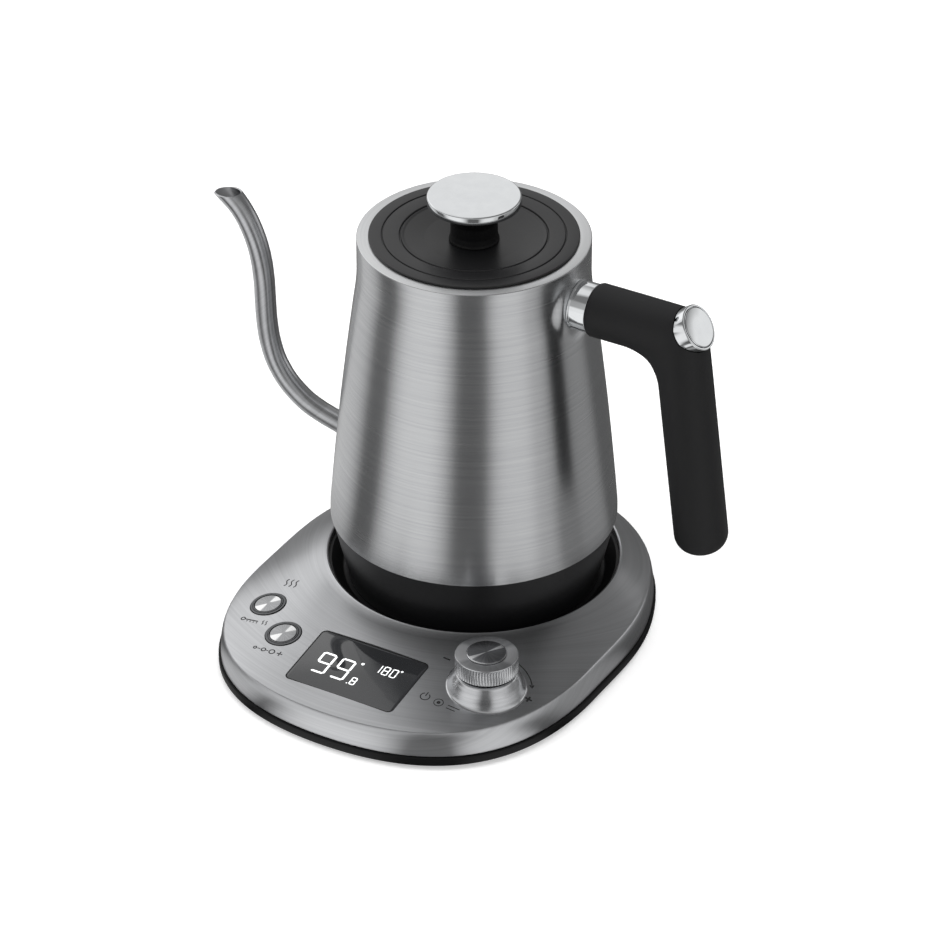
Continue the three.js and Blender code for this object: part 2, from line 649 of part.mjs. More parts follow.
function buttonBezel() {
  const [inner, outer] = [button.bezelRadius - button.bezelWall, button.bezelRadius];
  const flangeZ = -cover.wall - 2 * seatGap;
  const flange = outer + button.bezelFlange;
  return turnedRing([
    [inner, -button.bezelDepth], [flange, -button.bezelDepth], [flange, flangeZ], [outer, flangeZ],
    [outer, button.bezelProud / 2], [outer - button.bezelProud / 2, button.bezelProud],
    [inner, button.bezelProud],
  ], mediumFaces);
}

function buttonCap() {
  const radius = button.bezelRadius - button.bezelWall - seatGap;
  const discRadius = radius - button.rimWidth;
  const lowZ = button.capTop - button.capHeight;
  return turned([
    [0, lowZ - button.stemLength], [button.stemRadius, lowZ - button.stemLength], [button.stemRadius, lowZ],
    [radius, lowZ], [radius, button.capTop - button.capRound], [radius - button.capRound, button.capTop],
    [discRadius, button.capTop], [discRadius - button.insetDepth, button.capTop - button.insetDepth],
    [0, button.capTop - button.insetDepth],
  ], mediumFaces);
}

// The switch stands on the board, up to just under the pressed stem of its button
function pushSwitchBody(seat) {
  const stemEnd = button.capTop - button.capHeight - button.stemLength - button.travel - seatGap;
  const end = new THREE.Vector3(0, 0, stemEnd).applyQuaternion(seat.quaternion).add(seat.position);
  const lowZ = boardTopZ + seatGap;
  const shoulder = Math.min(lowZ + pushSwitch.height, end.z - 2 * seatGap - pushSwitch.plungerHeight);
  const body = box(pushSwitch.side, pushSwitch.side, shoulder - lowZ).translate(0, 0, (shoulder + lowZ) / 2);
  const plunger = cylinder(pushSwitch.plunger, lowZ, shoulder + pushSwitch.plungerHeight, screwFaces);
  return join(body, plunger).translate(end.x, end.y, 0);
}

const encoderTopZ = knobZ - pedestal.roof - seatGap;
const bushingTopZ = knobZ + encoder.nutHeight + 3 * seatGap;

function encoderBody() {
  const lowZ = encoderTopZ - encoder.body;
  const body = box(encoder.side, encoder.side, encoder.body).translate(0, 0, lowZ + encoder.body / 2);
  const bushing = cylinder(encoder.bushing, lowZ, bushingTopZ);
  const bore = cylinder(encoder.bushingBore, lowZ + seatGap * 3, bushingTopZ + cutOverrun);
  return cut(join(body, bushing), bore);
}

function encoderNut() {
  const lowZ = knobZ + seatGap;
  const highZ = lowZ + encoder.nutHeight;
  const nut = cylinder(encoder.nutAcross / Math.sqrt(3), lowZ, highZ, screwFaces);
  return cut(nut, cylinder(encoder.bushing + seatGap, lowZ - cutOverrun, highZ + cutOverrun));
}

const rotorLowZ = encoderTopZ - encoder.body + seatGap * 4;

function encoderRotor() {
  const outer = encoder.bushingBore - seatGap;
  const inner = outer - encoder.rotorWall;
  const highZ = rotorLowZ + encoder.rotorHeight;
  return turnedRing([[inner, rotorLowZ], [outer, rotorLowZ], [outer, highZ], [inner, highZ]], smallFaces);
}

const drumRoofZ = knobBottomZ + drum.hollowHeight;

function encoderShaft() {
  const lowZ = rotorLowZ + drum.travel;
  const shoulderZ = Math.max(bushingTopZ, rotorLowZ + encoder.rotorHeight) + drum.travel + seatGap;
  const highZ = drumRoofZ + drum.height - drum.hollowHeight - drum.insertSeat - seatGap * 2;
  const radius = Math.min(encoder.shaftRadius, encoder.bushingBore - encoder.rotorWall - 2 * seatGap);
  return turned([[0, lowZ], [radius, lowZ], [radius, shoulderZ], [encoder.tipRadius, shoulderZ],
    [encoder.tipRadius, highZ], [0, highZ]], smallFaces);
}

function knurledRing(lowZ, highZ) {
  const shape = new THREE.Shape();
  for (let i = 0; i < drum.teeth * 2; i++) {
    const radius = drum.radius - (i % 2) * drum.toothDepth;
    const angle = (i * Math.PI) / drum.teeth;
    const point = [radius * Math.cos(angle), radius * Math.sin(angle)];
    if (i) shape.lineTo(...point);
    else shape.moveTo(...point);
  }
  return new THREE.ExtrudeGeometry(shape, { depth: highZ - lowZ, bevelEnabled: false }).translate(0, 0, lowZ);
}

function knobDrum() {
  const highZ = knobBottomZ + drum.height;
  const { radius, rimRound } = drum;
  const round = turned([
    [0, knobBottomZ], [radius - rimRound / 2, knobBottomZ], [radius, knobBottomZ + rimRound],
    [radius, highZ - rimRound * 2], [radius - rimRound, highZ], [0, highZ],
  ], drum.teeth);
  const body = common(knurledRing(knobBottomZ, highZ), round);
  const hollow = cylinder(drum.radius - drum.wall, knobBottomZ - cutOverrun, drumRoofZ, mediumFaces);
  const seat = cylinder(seatRadius, highZ - drum.insertSeat, highZ + cutOverrun, mediumFaces);
  const bore = cylinder(encoder.tipRadius + seatGap, knobBottomZ, highZ - drum.insertSeat + seatGap);
  return cut(body, hollow, seat, bore);
}

function knobInsert() {
  const insertRadius = seatRadius - seatGap;
  const lowZ = knobBottomZ + drum.height - drum.insertSeat + seatGap;
  return turned([[0, lowZ], [insertRadius, lowZ], [insertRadius, lowZ + insert.thickness - insert.round],
    [insertRadius - insert.round, lowZ + insert.thickness], [0, lowZ + insert.thickness]], mediumFaces);
}

function cordGland() {
  const outer = gland.bore + gland.wall;
  const wallY = backRadius - cover.sideInset;
  const insideY = wallY - 2 * cover.wall - 3 * seatGap;
  const outsideY = wallY + seatGap;
  return turnedRing([
    [gland.bore, insideY - gland.flange], [glandFlangeRadius, insideY - gland.flange],
    [glandFlangeRadius, insideY], [outer, insideY], [outer, outsideY], [glandFlangeRadius, outsideY],
    [glandFlangeRadius, outsideY + gland.flange], [gland.bore, outsideY + gland.flange],
  ], smallFaces).rotateX(-Math.PI / 2).translate(0, 0, glandZ);
}

function baseFoot() {
  return turned([
    [0, 0], [foot.radius - foot.recess, 0], [foot.radius, foot.recess], [foot.radius, foot.height],
    [0, foot.height],
  ], smallFaces);
}

function panScrew(size) {
  const tip = size.headHeight + size.shankLength;
  return turned([[0, 0], [size.headRadius, 0], [size.headRadius, size.headHeight],
    [size.shankRadius, size.headHeight], [size.shankRadius, tip], [0, tip]], screwFaces);
}

// Kettle

function coneRadius(z) {
  const share = THREE.MathUtils.clamp((z - steelBottomZ) / steel.coneHeight, 0, 1);
  const straight = THREE.MathUtils.lerp(steel.bottomRadius, steel.kinkRadius, share);
  return straight + steel.bulge * 4 * share * (1 - share);
}

function coneProfile(offset) {
  return Array.from({ length: coneSteps + 1 }, (_, i) => {
    const z = steelBottomZ + (steel.coneHeight * i) / coneSteps;
    return [coneRadius(z) + offset, z];
  });
}

function steelOuterSolid(offset) {
  const cone = coneProfile(offset);
  return turned([[0, steelBottomZ], ...cone, [steel.kinkRadius + offset, rimZ], [0, rimZ]]);
}

function handleBoss() {
  const profile = bossShares.map(([radiusShare, heightShare]) => (
    [bossRadius + boss.spread * radiusShare, steel.kinkRadius + boss.height * heightShare]));
  const [inside, outside] = [steel.kinkRadius - bossRadius, steel.kinkRadius + boss.height];
  return onArm(turned([[0, outside], ...profile, [bossRadius + boss.spread, inside], [0, inside]], mediumFaces));
}

const spoutRootX = spout.sink - coneRadius(spoutRootZ);

function kettleBody() {
  const wall = steel.wall;
  const inner = coneProfile(-wall).reverse();
  const [outer, lipIn] = [steel.kinkRadius, rimInner];
  const round = steel.rimRound;
  const shell = turnedRing([
    ...coneProfile(0), [outer, rimZ - round], [outer - round / 3, rimZ - round / 3], [outer - round, rimZ],
    [lipIn, rimZ], [lipIn, rimZ - steel.rimLip], [lipIn + wall, rimZ - steel.rimLip],
    [lipIn + wall, rimZ - wall], [outer - wall, rimZ - wall], ...inner,
  ]);
  const drawnBoss = cut(handleBoss(), steelOuterSolid(-wall / 2));
  const spoutHole = cylinder(spout.radius - spout.wall, 0, steel.bottomRadius, smallFaces)
    .rotateY(-Math.PI / 2).translate(spoutRootX / 2, 0, spoutRootZ);
  return cut(join(shell, drawnBoss), spoutHole);
}

const spoutLine = new THREE.CatmullRomCurve3(spoutShares.map(([reachShare, riseShare]) => (
  new THREE.Vector3(spoutRootX - spout.reach * reachShare, 0, spoutRootZ + spout.rise * riseShare)
)), false, 'centripetal');

function spoutRings(radiusAt) {
  const side = new THREE.Vector3(0, 1, 0);
  return Array.from({ length: spoutSteps + 1 }, (_, i) => {
    const share = i / spoutSteps;
    const centre = spoutLine.getPointAt(share);
    const across = spoutLine.getTangentAt(share).cross(side);
    const radius = radiusAt(share);
    return Array.from({ length: spoutFaces }, (_unused, k) => {
      const angle = (2 * Math.PI * k) / spoutFaces;
      return centre.clone().addScaledVector(across, radius * Math.cos(angle))
        .addScaledVector(side, radius * Math.sin(angle));
    });
  });
}

function spoutTube() {
  const flareAt = (share) => spout.tipFlare * THREE.MathUtils.smoothstep(share, ...flareShares);
  const outer = spoutRings((share) => spout.radius + flareAt(share));
  const inner = spoutRings((share) => spout.radius - spout.wall + flareAt(share)).reverse();
  const tube = ringLoft([...outer, ...inner], true);
  const above = spout.reach;
  const tipCut = box(above, above, above).translate(0, 0, above / 2).rotateY(-spout.tipTilt)
    .translate(spoutRootX - spout.reach, 0, spoutRootZ + spout.rise);
  return cut(tube, tipCut, steelOuterSolid(seatGap));
}

function kettleFloor() {
  const lowZ = floorPlateZ;
  const radius = coneRadius(lowZ) - steel.wall - seatGap * 2;
  const inner = radius - floorPlate.step;
  const thick = floorPlate.thickness;
  const hole = probe.radius + seatGap;
  const panZ = lowZ - floorPlate.dish + thick / 2;
  return turnedRing([
    [hole, panZ], [inner, panZ], [inner + thick, lowZ], [radius, lowZ], [radius, lowZ + thick],
    [inner, lowZ + thick], [inner - thick, panZ + thick], [hole, panZ + thick],
  ], mediumFaces);
}

const heaterTopZ = floorPlateZ - floorPlate.dish + floorPlate.thickness / 2 - seatGap;

function heatingElement() {
  const lowZ = heaterTopZ - heater.plate;
  const plateBody = turnedRing([[probe.radius + seatGap, lowZ], [heaterRadius, lowZ],
    [heaterRadius, heaterTopZ], [probe.radius + seatGap, heaterTopZ]], mediumFaces);
  const tubeZ = lowZ - heater.tubeRadius + heater.tubeSink;
  const loopRadius = heaterRadius - heater.loopInset;
  const sweep = 2 * Math.PI - heater.gapAngle;
  const line = Array.from({ length: heaterSteps + 1 }, (_, i) => {
    const angle = heater.gapAngle / 2 + (sweep * i) / heaterSteps;
    return new THREE.Vector3(loopRadius * Math.cos(angle), loopRadius * Math.sin(angle), tubeZ);
  });
  const rings = line.map((centre) => {
    const outward = new THREE.Vector3(centre.x, centre.y, 0).normalize();
    return Array.from({ length: heaterFaces }, (_, k) => {
      const angle = (2 * Math.PI * k) / heaterFaces;
      return centre.clone().addScaledVector(outward, heater.tubeRadius * Math.cos(angle))
        .add(new THREE.Vector3(0, 0, heater.tubeRadius * Math.sin(angle)));
    });
  });
  const leg = cylinder(heater.tubeRadius - seatGap, tubeZ - heater.legLength, tubeZ, screwFaces);
  const legs = [line[0], line[heaterSteps]].map((end) => leg.clone().translate(end.x, end.y, 0));
  return join(plateBody, ringLoft(rings), ...legs);
}

function temperatureProbe() {
  const headZ = heaterTopZ - heater.plate - seatGap;
  const topZ = floorPlateZ + probe.height;
  const { radius, headRadius } = probe;
  const lowZ = headZ - probe.headHeight;
  return turned([
    [0, lowZ], [headRadius, lowZ], [headRadius, headZ], [radius, headZ], [radius, topZ - radius / 2],
    [radius / 2, topZ], [0, topZ],
  ], smallFaces);
}

function thermalCutout() {
  const highZ = heaterTopZ - heater.plate - seatGap;
  return cylinder(cutout.radius, highZ - cutout.height, highZ).translate(cutout.x, 0, 0);
}

function kettleSkirt() {
  const wall = skirt.wall;
  const shell = turnedRing([
    [skirtBottomRadius, skirtBottomZ], [skirtTopRadius, skirtTopZ], [spigotRadius, skirtTopZ],
    [spigotRadius, skirtTopZ + skirt.spigot], [spigotRadius - skirt.spigotWall, skirtTopZ + skirt.spigot],
    [spigotRadius - skirt.spigotWall, skirtTopZ - wall], [skirtBottomRadius - wall, skirtBottomZ],
  ]);
  const bosses = onScrewRing(skirt.bossRadius, skirtBottomZ, skirtBottomZ + skirt.bossHeight);
  const boreZ = skirtBottomZ + bottomScrew.shankLength;
  const bores = onScrewRing(bottomScrew.shankRadius + seatGap, skirtBottomZ - cutOverrun, boreZ);
  return cut(join(shell, ...bosses), ...bores);
}

function bottomScrewAngles() {
  const { count } = bottomScrew;
  return Array.from({ length: count }, (_, i) => Math.PI / 2 + (2 * Math.PI * i) / count);
}

function onScrewRing(radius, lowZ, highZ) {
  const peg = cylinder(radius, lowZ, highZ, screwFaces).translate(bottomScrewRing, 0, 0);
  return bottomScrewAngles().map((angle) => peg.clone().rotateZ(angle));
}

function bottomCoverPlate() {
  const [lowZ, highZ] = [bottomCoverZ, bottomCoverZ + bottomCover.thickness];
  const radius = skirtBottomRadius - bottomCover.inset;
  const body = turnedRing([[bottomCoverHole, lowZ], [radius - seatGap, lowZ], [radius, lowZ + seatGap],
    [radius, highZ], [bottomCoverHole, highZ]], mediumFaces);
  const headZ = lowZ + bottomScrew.headHeight + seatGap;
  const heads = onScrewRing(bottomScrew.headRadius + seatGap, lowZ - cutOverrun, headZ);
  const shanks = onScrewRing(bottomScrew.shankRadius + seatGap, lowZ, highZ + cutOverrun);
  return cut(body, ...heads, ...shanks);
}

function socketHousing() {
  const outer = socketRecess + socket.wall;
  const flangeRadius = bottomCoverHole + socket.flangeReach;
  const lowZ = bottomCoverZ + seatGap;
  const flangeZ = bottomCoverZ + bottomCover.thickness + seatGap;
  const topZ = socketRoofZ + socket.roof;
  const pinHole = socket.pinRadius + seatGap;
  return turnedRing([
    [socketRecess, lowZ], [outer, lowZ], [outer, flangeZ], [flangeRadius, flangeZ],
    [flangeRadius, flangeZ + socket.flange], [outer, flangeZ + socket.flange], [outer, topZ], [pinHole, topZ],
    [pinHole, socketRoofZ], [socketRecess, socketRoofZ],
  ], mediumFaces);
}

function socketPin() {
  return cylinder(socket.pinRadius, powerTopZ - socket.pinReach, socketRoofZ + socket.roof);
}

function socketRing() {
  const highZ = socketRoofZ - seatGap;
  const lowZ = powerTopZ - power.slotDepth + contact.ringHeight + runGap;
  const inner = (slotInner + slotOuter - contact.ringWall) / 2;
  const outer = inner + contact.ringWall;
  return turnedRing([[inner, lowZ], [outer, lowZ], [outer, highZ], [inner, highZ]], mediumFaces);
}

// Handle, drawn in the plane y = 0

// How far the outer side of the elbow is from the hub of the crook, at one angle
function elbowReach(hub, angle) {
  const { radius, lean } = handle;
  const ray = new THREE.Vector2(Math.cos(angle), Math.sin(angle));
  const toCorner = new THREE.Vector2(cornerX, handleZ).sub(hub);
  const topReach = (toCorner.y + radius) / ray.y;
  if (ray.y > 0 && topReach * ray.x <= toCorner.x) return topReach;
  const outward = new THREE.Vector2(Math.cos(lean), Math.sin(lean));
  const down = new THREE.Vector2(Math.sin(lean), -Math.cos(lean));
  const sideReach = (toCorner.dot(outward) + radius) / ray.dot(outward);
  if (ray.clone().multiplyScalar(sideReach).sub(toCorner).dot(down) >= 0) return sideReach;
  const along = ray.dot(toCorner);
  return along + Math.sqrt(radius ** 2 - toCorner.lengthSq() + along ** 2);
}

function gripStations() {
  const { radius, crook, lean } = handle;
  const z = handleZ;
  const bend = radius + crook;
  const tangent = (bend * (1 - Math.sin(lean))) / Math.cos(lean);
  const hub = new THREE.Vector2(cornerX - tangent, z - bend);
  const stations = [];
  const add = (x, height, half, angle) => stations.push({ x, z: height, half, angle });
  const straight = hub.x - sleeveX - handle.mouthRound;
  add(sleeveX, z, radius - handle.mouthRound, Math.PI / 2);
  for (let i = 0; i <= gripArmSteps; i++) {
    add(sleeveX + handle.mouthRound + (straight * i) / gripArmSteps, z, radius, Math.PI / 2);
  }
  for (let i = 1; i < gripBendSteps; i++) {
    const angle = THREE.MathUtils.lerp(Math.PI / 2, -lean, i / gripBendSteps);
    const reach = elbowReach(hub, angle);
    const middle = (reach + crook) / 2;
    add(hub.x + middle * Math.cos(angle), hub.y + middle * Math.sin(angle), (reach - crook) / 2, angle);
  }
  const along = (distance, half) => (
    add(cornerX + Math.sin(lean) * distance, z - Math.cos(lean) * distance, half, -lean));
  along(tangent, radius);
  along((tangent + handle.length - handle.endRound) / 2, radius);
  for (let i = 0; i <= gripEndSteps; i++) {
    const turn = (i / gripEndSteps) * (Math.PI / 2);
    const [back, inward] = [1 - Math.sin(turn), 1 - Math.cos(turn)];
    along(handle.length - handle.endRound * back, radius - handle.endRound * inward);
  }
  return stations;
}

function gripRing({ x, z, half, angle }) {
  const depth = Math.min(half, handle.radius);
  return Array.from({ length: gripFaces }, (_, k) => {
    const turn = (2 * Math.PI * k) / gripFaces;
    const reach = half * Math.cos(turn);
    return new THREE.Vector3(x + reach * Math.cos(angle), depth * Math.sin(turn), z + reach * Math.sin(angle));
  });
}

// A body turned round the X axis at the height of the arm
function onArm(geometry) {
  return geometry.rotateY(Math.PI / 2).translate(0, 0, handleZ);
}

function onCap(geometry) {
  return geometry.rotateY(Math.PI / 2 - cap.angle).translate(cornerX, 0, handleZ);
}

function handleGrip() {
  const body = ringLoft(gripStations().map(gripRing));
  const studBore = onArm(cylinder(stud.radius + seatGap, sleeveX - cutOverrun, studEnd + seatGap));
  const webBore = onArm(cylinder(handleScrew.shankRadius + seatGap, studEnd, cornerX));
  const headBore = onArm(cylinder(handleScrew.headRadius + seatGap, studEnd + seatGap + handleScrew.web,
    cornerX + handle.radius / 2));
  const capBoreZ = capReach - cap.depth - seatGap;
  const capBore = onCap(cylinder(capRadius + seatGap, capBoreZ, handle.radius * 2, mediumFaces));
  return cut(body, studBore, webBore, headBore, capBore);
}

function handleFerrule() {
  const lowX = ferruleX;
  const highX = lowX + ferrule.length;
  const bore = stud.radius + seatGap;
  return onArm(turnedRing([[bore, lowX], [bossRadius, lowX], [ferruleRadius, lowX + ferrule.rootHeight],
    [ferruleRadius, highX], [bore, highX]], mediumFaces));
}

function handleStud() {
  const body = cylinder(stud.radius, ferruleX, studEnd);
  const hole = cylinder(handleScrew.shankRadius + seatGap, studEnd - stud.holeDepth, studEnd + cutOverrun);
  return onArm(cut(body, hole));
}

function handleScrewBody() {
  const headX = studEnd + seatGap + handleScrew.web + seatGap;
  const tailX = headX - handleScrew.shankLength;
  return onArm(turned([[0, tailX], [handleScrew.shankRadius, tailX], [handleScrew.shankRadius, headX],
    [handleScrew.headRadius, headX], [handleScrew.headRadius, headX + handleScrew.headHeight],
    [0, headX + handleScrew.headHeight]], smallFaces));
}

function capRing() {
  const inner = capDiscRadius + seatGap;
  const seat = capReach - cap.disc - seatGap + cap.proud;
  return onCap(turned([
    [0, capReach - cap.depth], [capRadius, capReach - cap.depth], [capRadius, capReach - cap.round],
    [capRadius - cap.round, capReach], [inner, capReach], [inner, seat], [0, seat],
  ], mediumFaces));
}

function capDisc() {
  const topZ = capReach + cap.proud;
  return onCap(turned([
    [0, topZ - cap.disc], [capDiscRadius, topZ - cap.disc], [capDiscRadius, topZ - cap.round],
    [capDiscRadius - cap.round, topZ], [0, topZ],
  ], mediumFaces));
}

// Lid

function lidGroove(radius, z) {
  const half = lid.grooveWidth / 2;
  return [[radius - half, z], [radius, z - lid.grooveDepth], [radius + half, z]];
}

function lidCover() {
  const panZ = lidPanZ;
  const innerZ = lidTopZ - lid.grooveDepth / 2;
  const plugZ = lidBottomZ - lid.plugDepth;
  const plugIn = plugRadius - lid.plugWall;
  const neckRing = neck.bottomRadius + seatGap;
  const pan = panCurveShares.map(([reachShare, riseShare]) => (
    [THREE.MathUtils.lerp(neckRing, innerGroove, reachShare), THREE.MathUtils.lerp(panZ, innerZ, riseShare)]));
  const sealHigh = lidBottomZ - lid.sealZ + lid.sealHeight + seatGap * 2;
  const sealLow = lidBottomZ - lid.sealZ;
  const sealIn = plugRadius - lid.sealDepth;
  return turnedRing([
    [lid.screwHole, panZ], [neckRing, panZ], ...pan,
    ...lidGroove(innerGroove, innerZ), ...lidGroove(outerGroove, lidTopZ - lid.grooveDepth / 4),
    [lidRadius - lid.edge / 3, lidTopZ], [lidRadius, lidTopZ - lid.edge / 3], [lidRadius, lidBottomZ],
    [plugRadius, lidBottomZ], [plugRadius, sealHigh], [sealIn, sealHigh], [sealIn, sealLow],
    [plugRadius, sealLow], [plugRadius, plugZ], [plugIn, plugZ], [plugIn, lidBottomZ - lid.skin],
    [innerGroove, lidBottomZ - lid.skin], [neckRing, panZ - lid.skin],
    [lid.screwHole, panZ - lid.skin],
  ]);
}

function lidSeal() {
  const lowZ = lidBottomZ - lid.sealZ + seatGap;
  const inner = plugRadius - lid.sealDepth + seatGap;
  const outer = rimInner - seatGap;
  const highZ = lowZ + lid.sealHeight;
  return turnedRing([[inner, lowZ], [outer - seatGap, lowZ], [outer, (lowZ + highZ) / 2], [inner, highZ]]);
}

function lidLiner() {
  const lowZ = lidBottomZ - lid.plugDepth + seatGap;
  const radius = plugRadius - lid.plugWall - seatGap;
  return turned([[0, lowZ], [radius, lowZ], [radius, lowZ + liner.rim],
    [radius - liner.thickness, lowZ + liner.rim], [radius - liner.thickness, lowZ + liner.thickness],
    [0, lowZ + liner.thickness]], mediumFaces);
}

function lidNeck() {
  const flare = neck.topRadius - neck.waistRadius;
  const side = neckShares.map(([radiusShare, heightShare]) => (
    [neck.waistRadius + flare * radiusShare, neckZ + neck.height * heightShare]));
  const body = turned([[0, neckZ], ...side, [neck.topRadius, neckTopZ], [neck.spigotRadius, neckTopZ],
    [neck.spigotRadius, neckTopZ + neck.spigot], [0, neckTopZ + neck.spigot]], mediumFaces);
  const boreZ = neckZ + lidScrew.shankLength;
  return cut(body, cylinder(lidScrew.shankRadius + seatGap, neckZ - cutOverrun, boreZ, screwFaces));
}

function lidKnobDisc() {
  const lowZ = neckTopZ + seatGap;
  const highZ = lowZ + lidKnob.thickness;
  const { radius, round } = lidKnob;
  const body = turned([
    [0, lowZ], [radius - round, lowZ], [radius, lowZ + round], [radius, highZ - round], [radius - round, highZ],
    [0, highZ],
  ]);
  return cut(body, cylinder(neck.spigotRadius + seatGap, lowZ - cutOverrun, lowZ + neck.spigot, mediumFaces));
}

// The scene graph: one group for each set of pieces that moves together

const assembly = new THREE.Group();

function addGroup(parent = assembly) {
  const group = new THREE.Group();
  parent.add(group);
  return group;
}

function add(parent, name, geometry, finish, place = [0, 0, 0], turn = 0) {
  const shown = geometry.clone();
  shown.computeVertexNormals();
  const mesh = new THREE.Mesh(shown, new THREE.MeshStandardMaterial(finishes[finish]));
  mesh.name = name;
  mesh.position.set(...place);
  mesh.rotation.z = turn;
  parent.add(mesh);
}

const base = addGroup();
add(base, 'base_cover', baseCover(), 'brushedSteel');
add(base, 'base_tray', baseTray(), 'blackPlastic');
add(base, 'well_dish', wellDish(), 'blackPlastic');
add(base, 'power_boss', powerBoss(), 'blackPlastic');
add(base, 'centre_contact', centreContact(), 'brass');
add(base, 'ring_contact', ringContact(), 'brass');
add(base, 'control_board', controlBoard(), 'circuitBoard');
add(base, 'power_board', powerBoardPlate(), 'circuitBoard');
add(base, 'relay', relayBlock(), 'relayBlue');
add(base, 'buzzer', buzzerCan(), 'blackPlastic');
add(base, 'cord_gland', cordGland(), 'rubber');
footPlaces().forEach(([x, y], i) => add(base, `base_foot_${i + 1}`, baseFoot(), 'rubber', [x, y, 0]));
screwPlaces().forEach(([x, y], i) => (
  add(base, `case_screw_${i + 1}`, panScrew(caseScrew), 'plainSteel', [x, y, trayFloorZ])));
base.add(screenSeat);
add(screenSeat, 'display_window', displayWindow(), 'smokedWindow');
add(screenSeat, 'display_module', displayModule(), 'plainSteel');

for (const [name, seat] of [['rear', rearSeat], ['front', frontSeat]]) {
  base.add(seat);
  add(seat, `button_bezel_${name}`, buttonBezel(), 'blackPlastic');
  add(seat, `button_cap_${name}`, buttonCap(), 'aluminium');
  add(base, `button_switch_${name}`, pushSwitchBody(seat), 'blackPlastic');
}

const knobGroup = addGroup(base);
knobGroup.position.set(knobX, knobY, 0);
add(knobGroup, 'encoder_body', encoderBody(), 'plainSteel');
add(knobGroup, 'encoder_nut', encoderNut(), 'plainSteel');
add(knobGroup, 'encoder_rotor', encoderRotor(), 'brass');
add(knobGroup, 'encoder_shaft', encoderShaft(), 'plainSteel');
add(knobGroup, 'knob_drum', knobDrum(), 'aluminium');
add(knobGroup, 'knob_insert', knobInsert(), 'aluminium');

const kettle = addGroup();
add(kettle, 'socket_housing', socketHousing(), 'blackPlastic');
add(kettle, 'socket_pin', socketPin(), 'brass');
add(kettle, 'socket_ring', socketRing(), 'brass');
add(kettle, 'kettle_body', kettleBody(), 'brushedSteel');
add(kettle, 'kettle_floor', kettleFloor(), 'plainSteel');
add(kettle, 'heating_element', heatingElement(), 'aluminium');
add(kettle, 'temperature_probe', temperatureProbe(), 'plainSteel');
add(kettle, 'thermal_cutout', thermalCutout(), 'blackPlastic');
add(kettle, 'kettle_skirt', kettleSkirt(), 'blackPlastic');
add(kettle, 'bottom_cover', bottomCoverPlate(), 'blackPlastic');
bottomScrewAngles().forEach((angle, i) => {
  const place = [bottomScrewRing * Math.cos(angle), bottomScrewRing * Math.sin(angle), bottomCoverZ];
  add(kettle, `bottom_screw_${i + 1}`, panScrew(bottomScrew), 'plainSteel', place, angle);
});
add(kettle, 'spout', spoutTube(), 'brushedSteel');
add(kettle, 'handle_ferrule', handleFerrule(), 'chrome');
add(kettle, 'handle_stud', handleStud(), 'plainSteel');
add(kettle, 'handle_grip', handleGrip(), 'softBlack');
add(kettle, 'handle_screw', handleScrewBody(), 'plainSteel');
add(kettle, 'cap_ring', capRing(), 'chrome');
add(kettle, 'cap_disc', capDisc(), 'chrome');

const lidGroup = addGroup(kettle);
add(lidGroup, 'lid_cover', lidCover(), 'blackPlastic');
add(lidGroup, 'lid_seal', lidSeal(), 'silicone');
add(lidGroup, 'lid_liner', lidLiner(), 'plainSteel');
add(lidGroup, 'lid_neck', lidNeck(), 'blackPlastic');
add(lidGroup, 'lid_knob', lidKnobDisc(), 'chrome');
const lidScrewZ = lidPanZ - lid.skin - seatGap - lidScrew.headHeight;
add(lidGroup, 'lid_screw', panScrew(lidScrew), 'plainSteel', [0, 0, lidScrewZ]);

// The finished part stands with the middle of its outline over the origin
const span = new THREE.Box3().setFromObject(assembly);
assembly.position.set(-(span.min.x + span.max.x) / 2, -(span.min.y + span.max.y) / 2, -span.min.z);

export default assembly;
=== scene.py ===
import json
from math import atan2, cos, hypot, pi, radians, sin, sqrt, tan

import bmesh
import bpy
from mathutils import Matrix, Vector


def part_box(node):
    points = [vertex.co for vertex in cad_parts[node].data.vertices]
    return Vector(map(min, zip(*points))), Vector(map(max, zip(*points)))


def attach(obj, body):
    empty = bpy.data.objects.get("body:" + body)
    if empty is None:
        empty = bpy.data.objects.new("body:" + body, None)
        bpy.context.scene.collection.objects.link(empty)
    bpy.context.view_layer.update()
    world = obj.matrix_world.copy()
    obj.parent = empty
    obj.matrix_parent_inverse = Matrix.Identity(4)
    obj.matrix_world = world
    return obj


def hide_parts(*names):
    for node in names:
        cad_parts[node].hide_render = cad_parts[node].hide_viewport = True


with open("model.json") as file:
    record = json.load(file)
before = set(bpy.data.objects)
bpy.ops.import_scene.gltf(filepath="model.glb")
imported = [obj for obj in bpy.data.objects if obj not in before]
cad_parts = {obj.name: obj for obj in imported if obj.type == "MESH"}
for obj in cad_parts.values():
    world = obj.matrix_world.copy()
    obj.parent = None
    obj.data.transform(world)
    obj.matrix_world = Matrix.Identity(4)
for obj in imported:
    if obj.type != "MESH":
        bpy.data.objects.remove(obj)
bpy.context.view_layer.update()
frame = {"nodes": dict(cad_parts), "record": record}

# Sizes are in millimetres from the kettle's axis and the table, and become metres in placePiece
metre = 0.001
pinLow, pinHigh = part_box("socket_pin")
axisPlace = Vector(((pinLow.x + pinHigh.x) / 2, (pinLow.y + pinHigh.y) / 2, 0))
kettleFrame = Matrix.Translation(axisPlace) @ Matrix.Scale(metre, 4)

print("stage: camera")
view = {"azimuth": 30, "elevation": 32.81, "lens": 172.34, "sensor": 36, "distance": 2.01986,
        "aimHeight": 0.070, "aimAside": -0.00181}


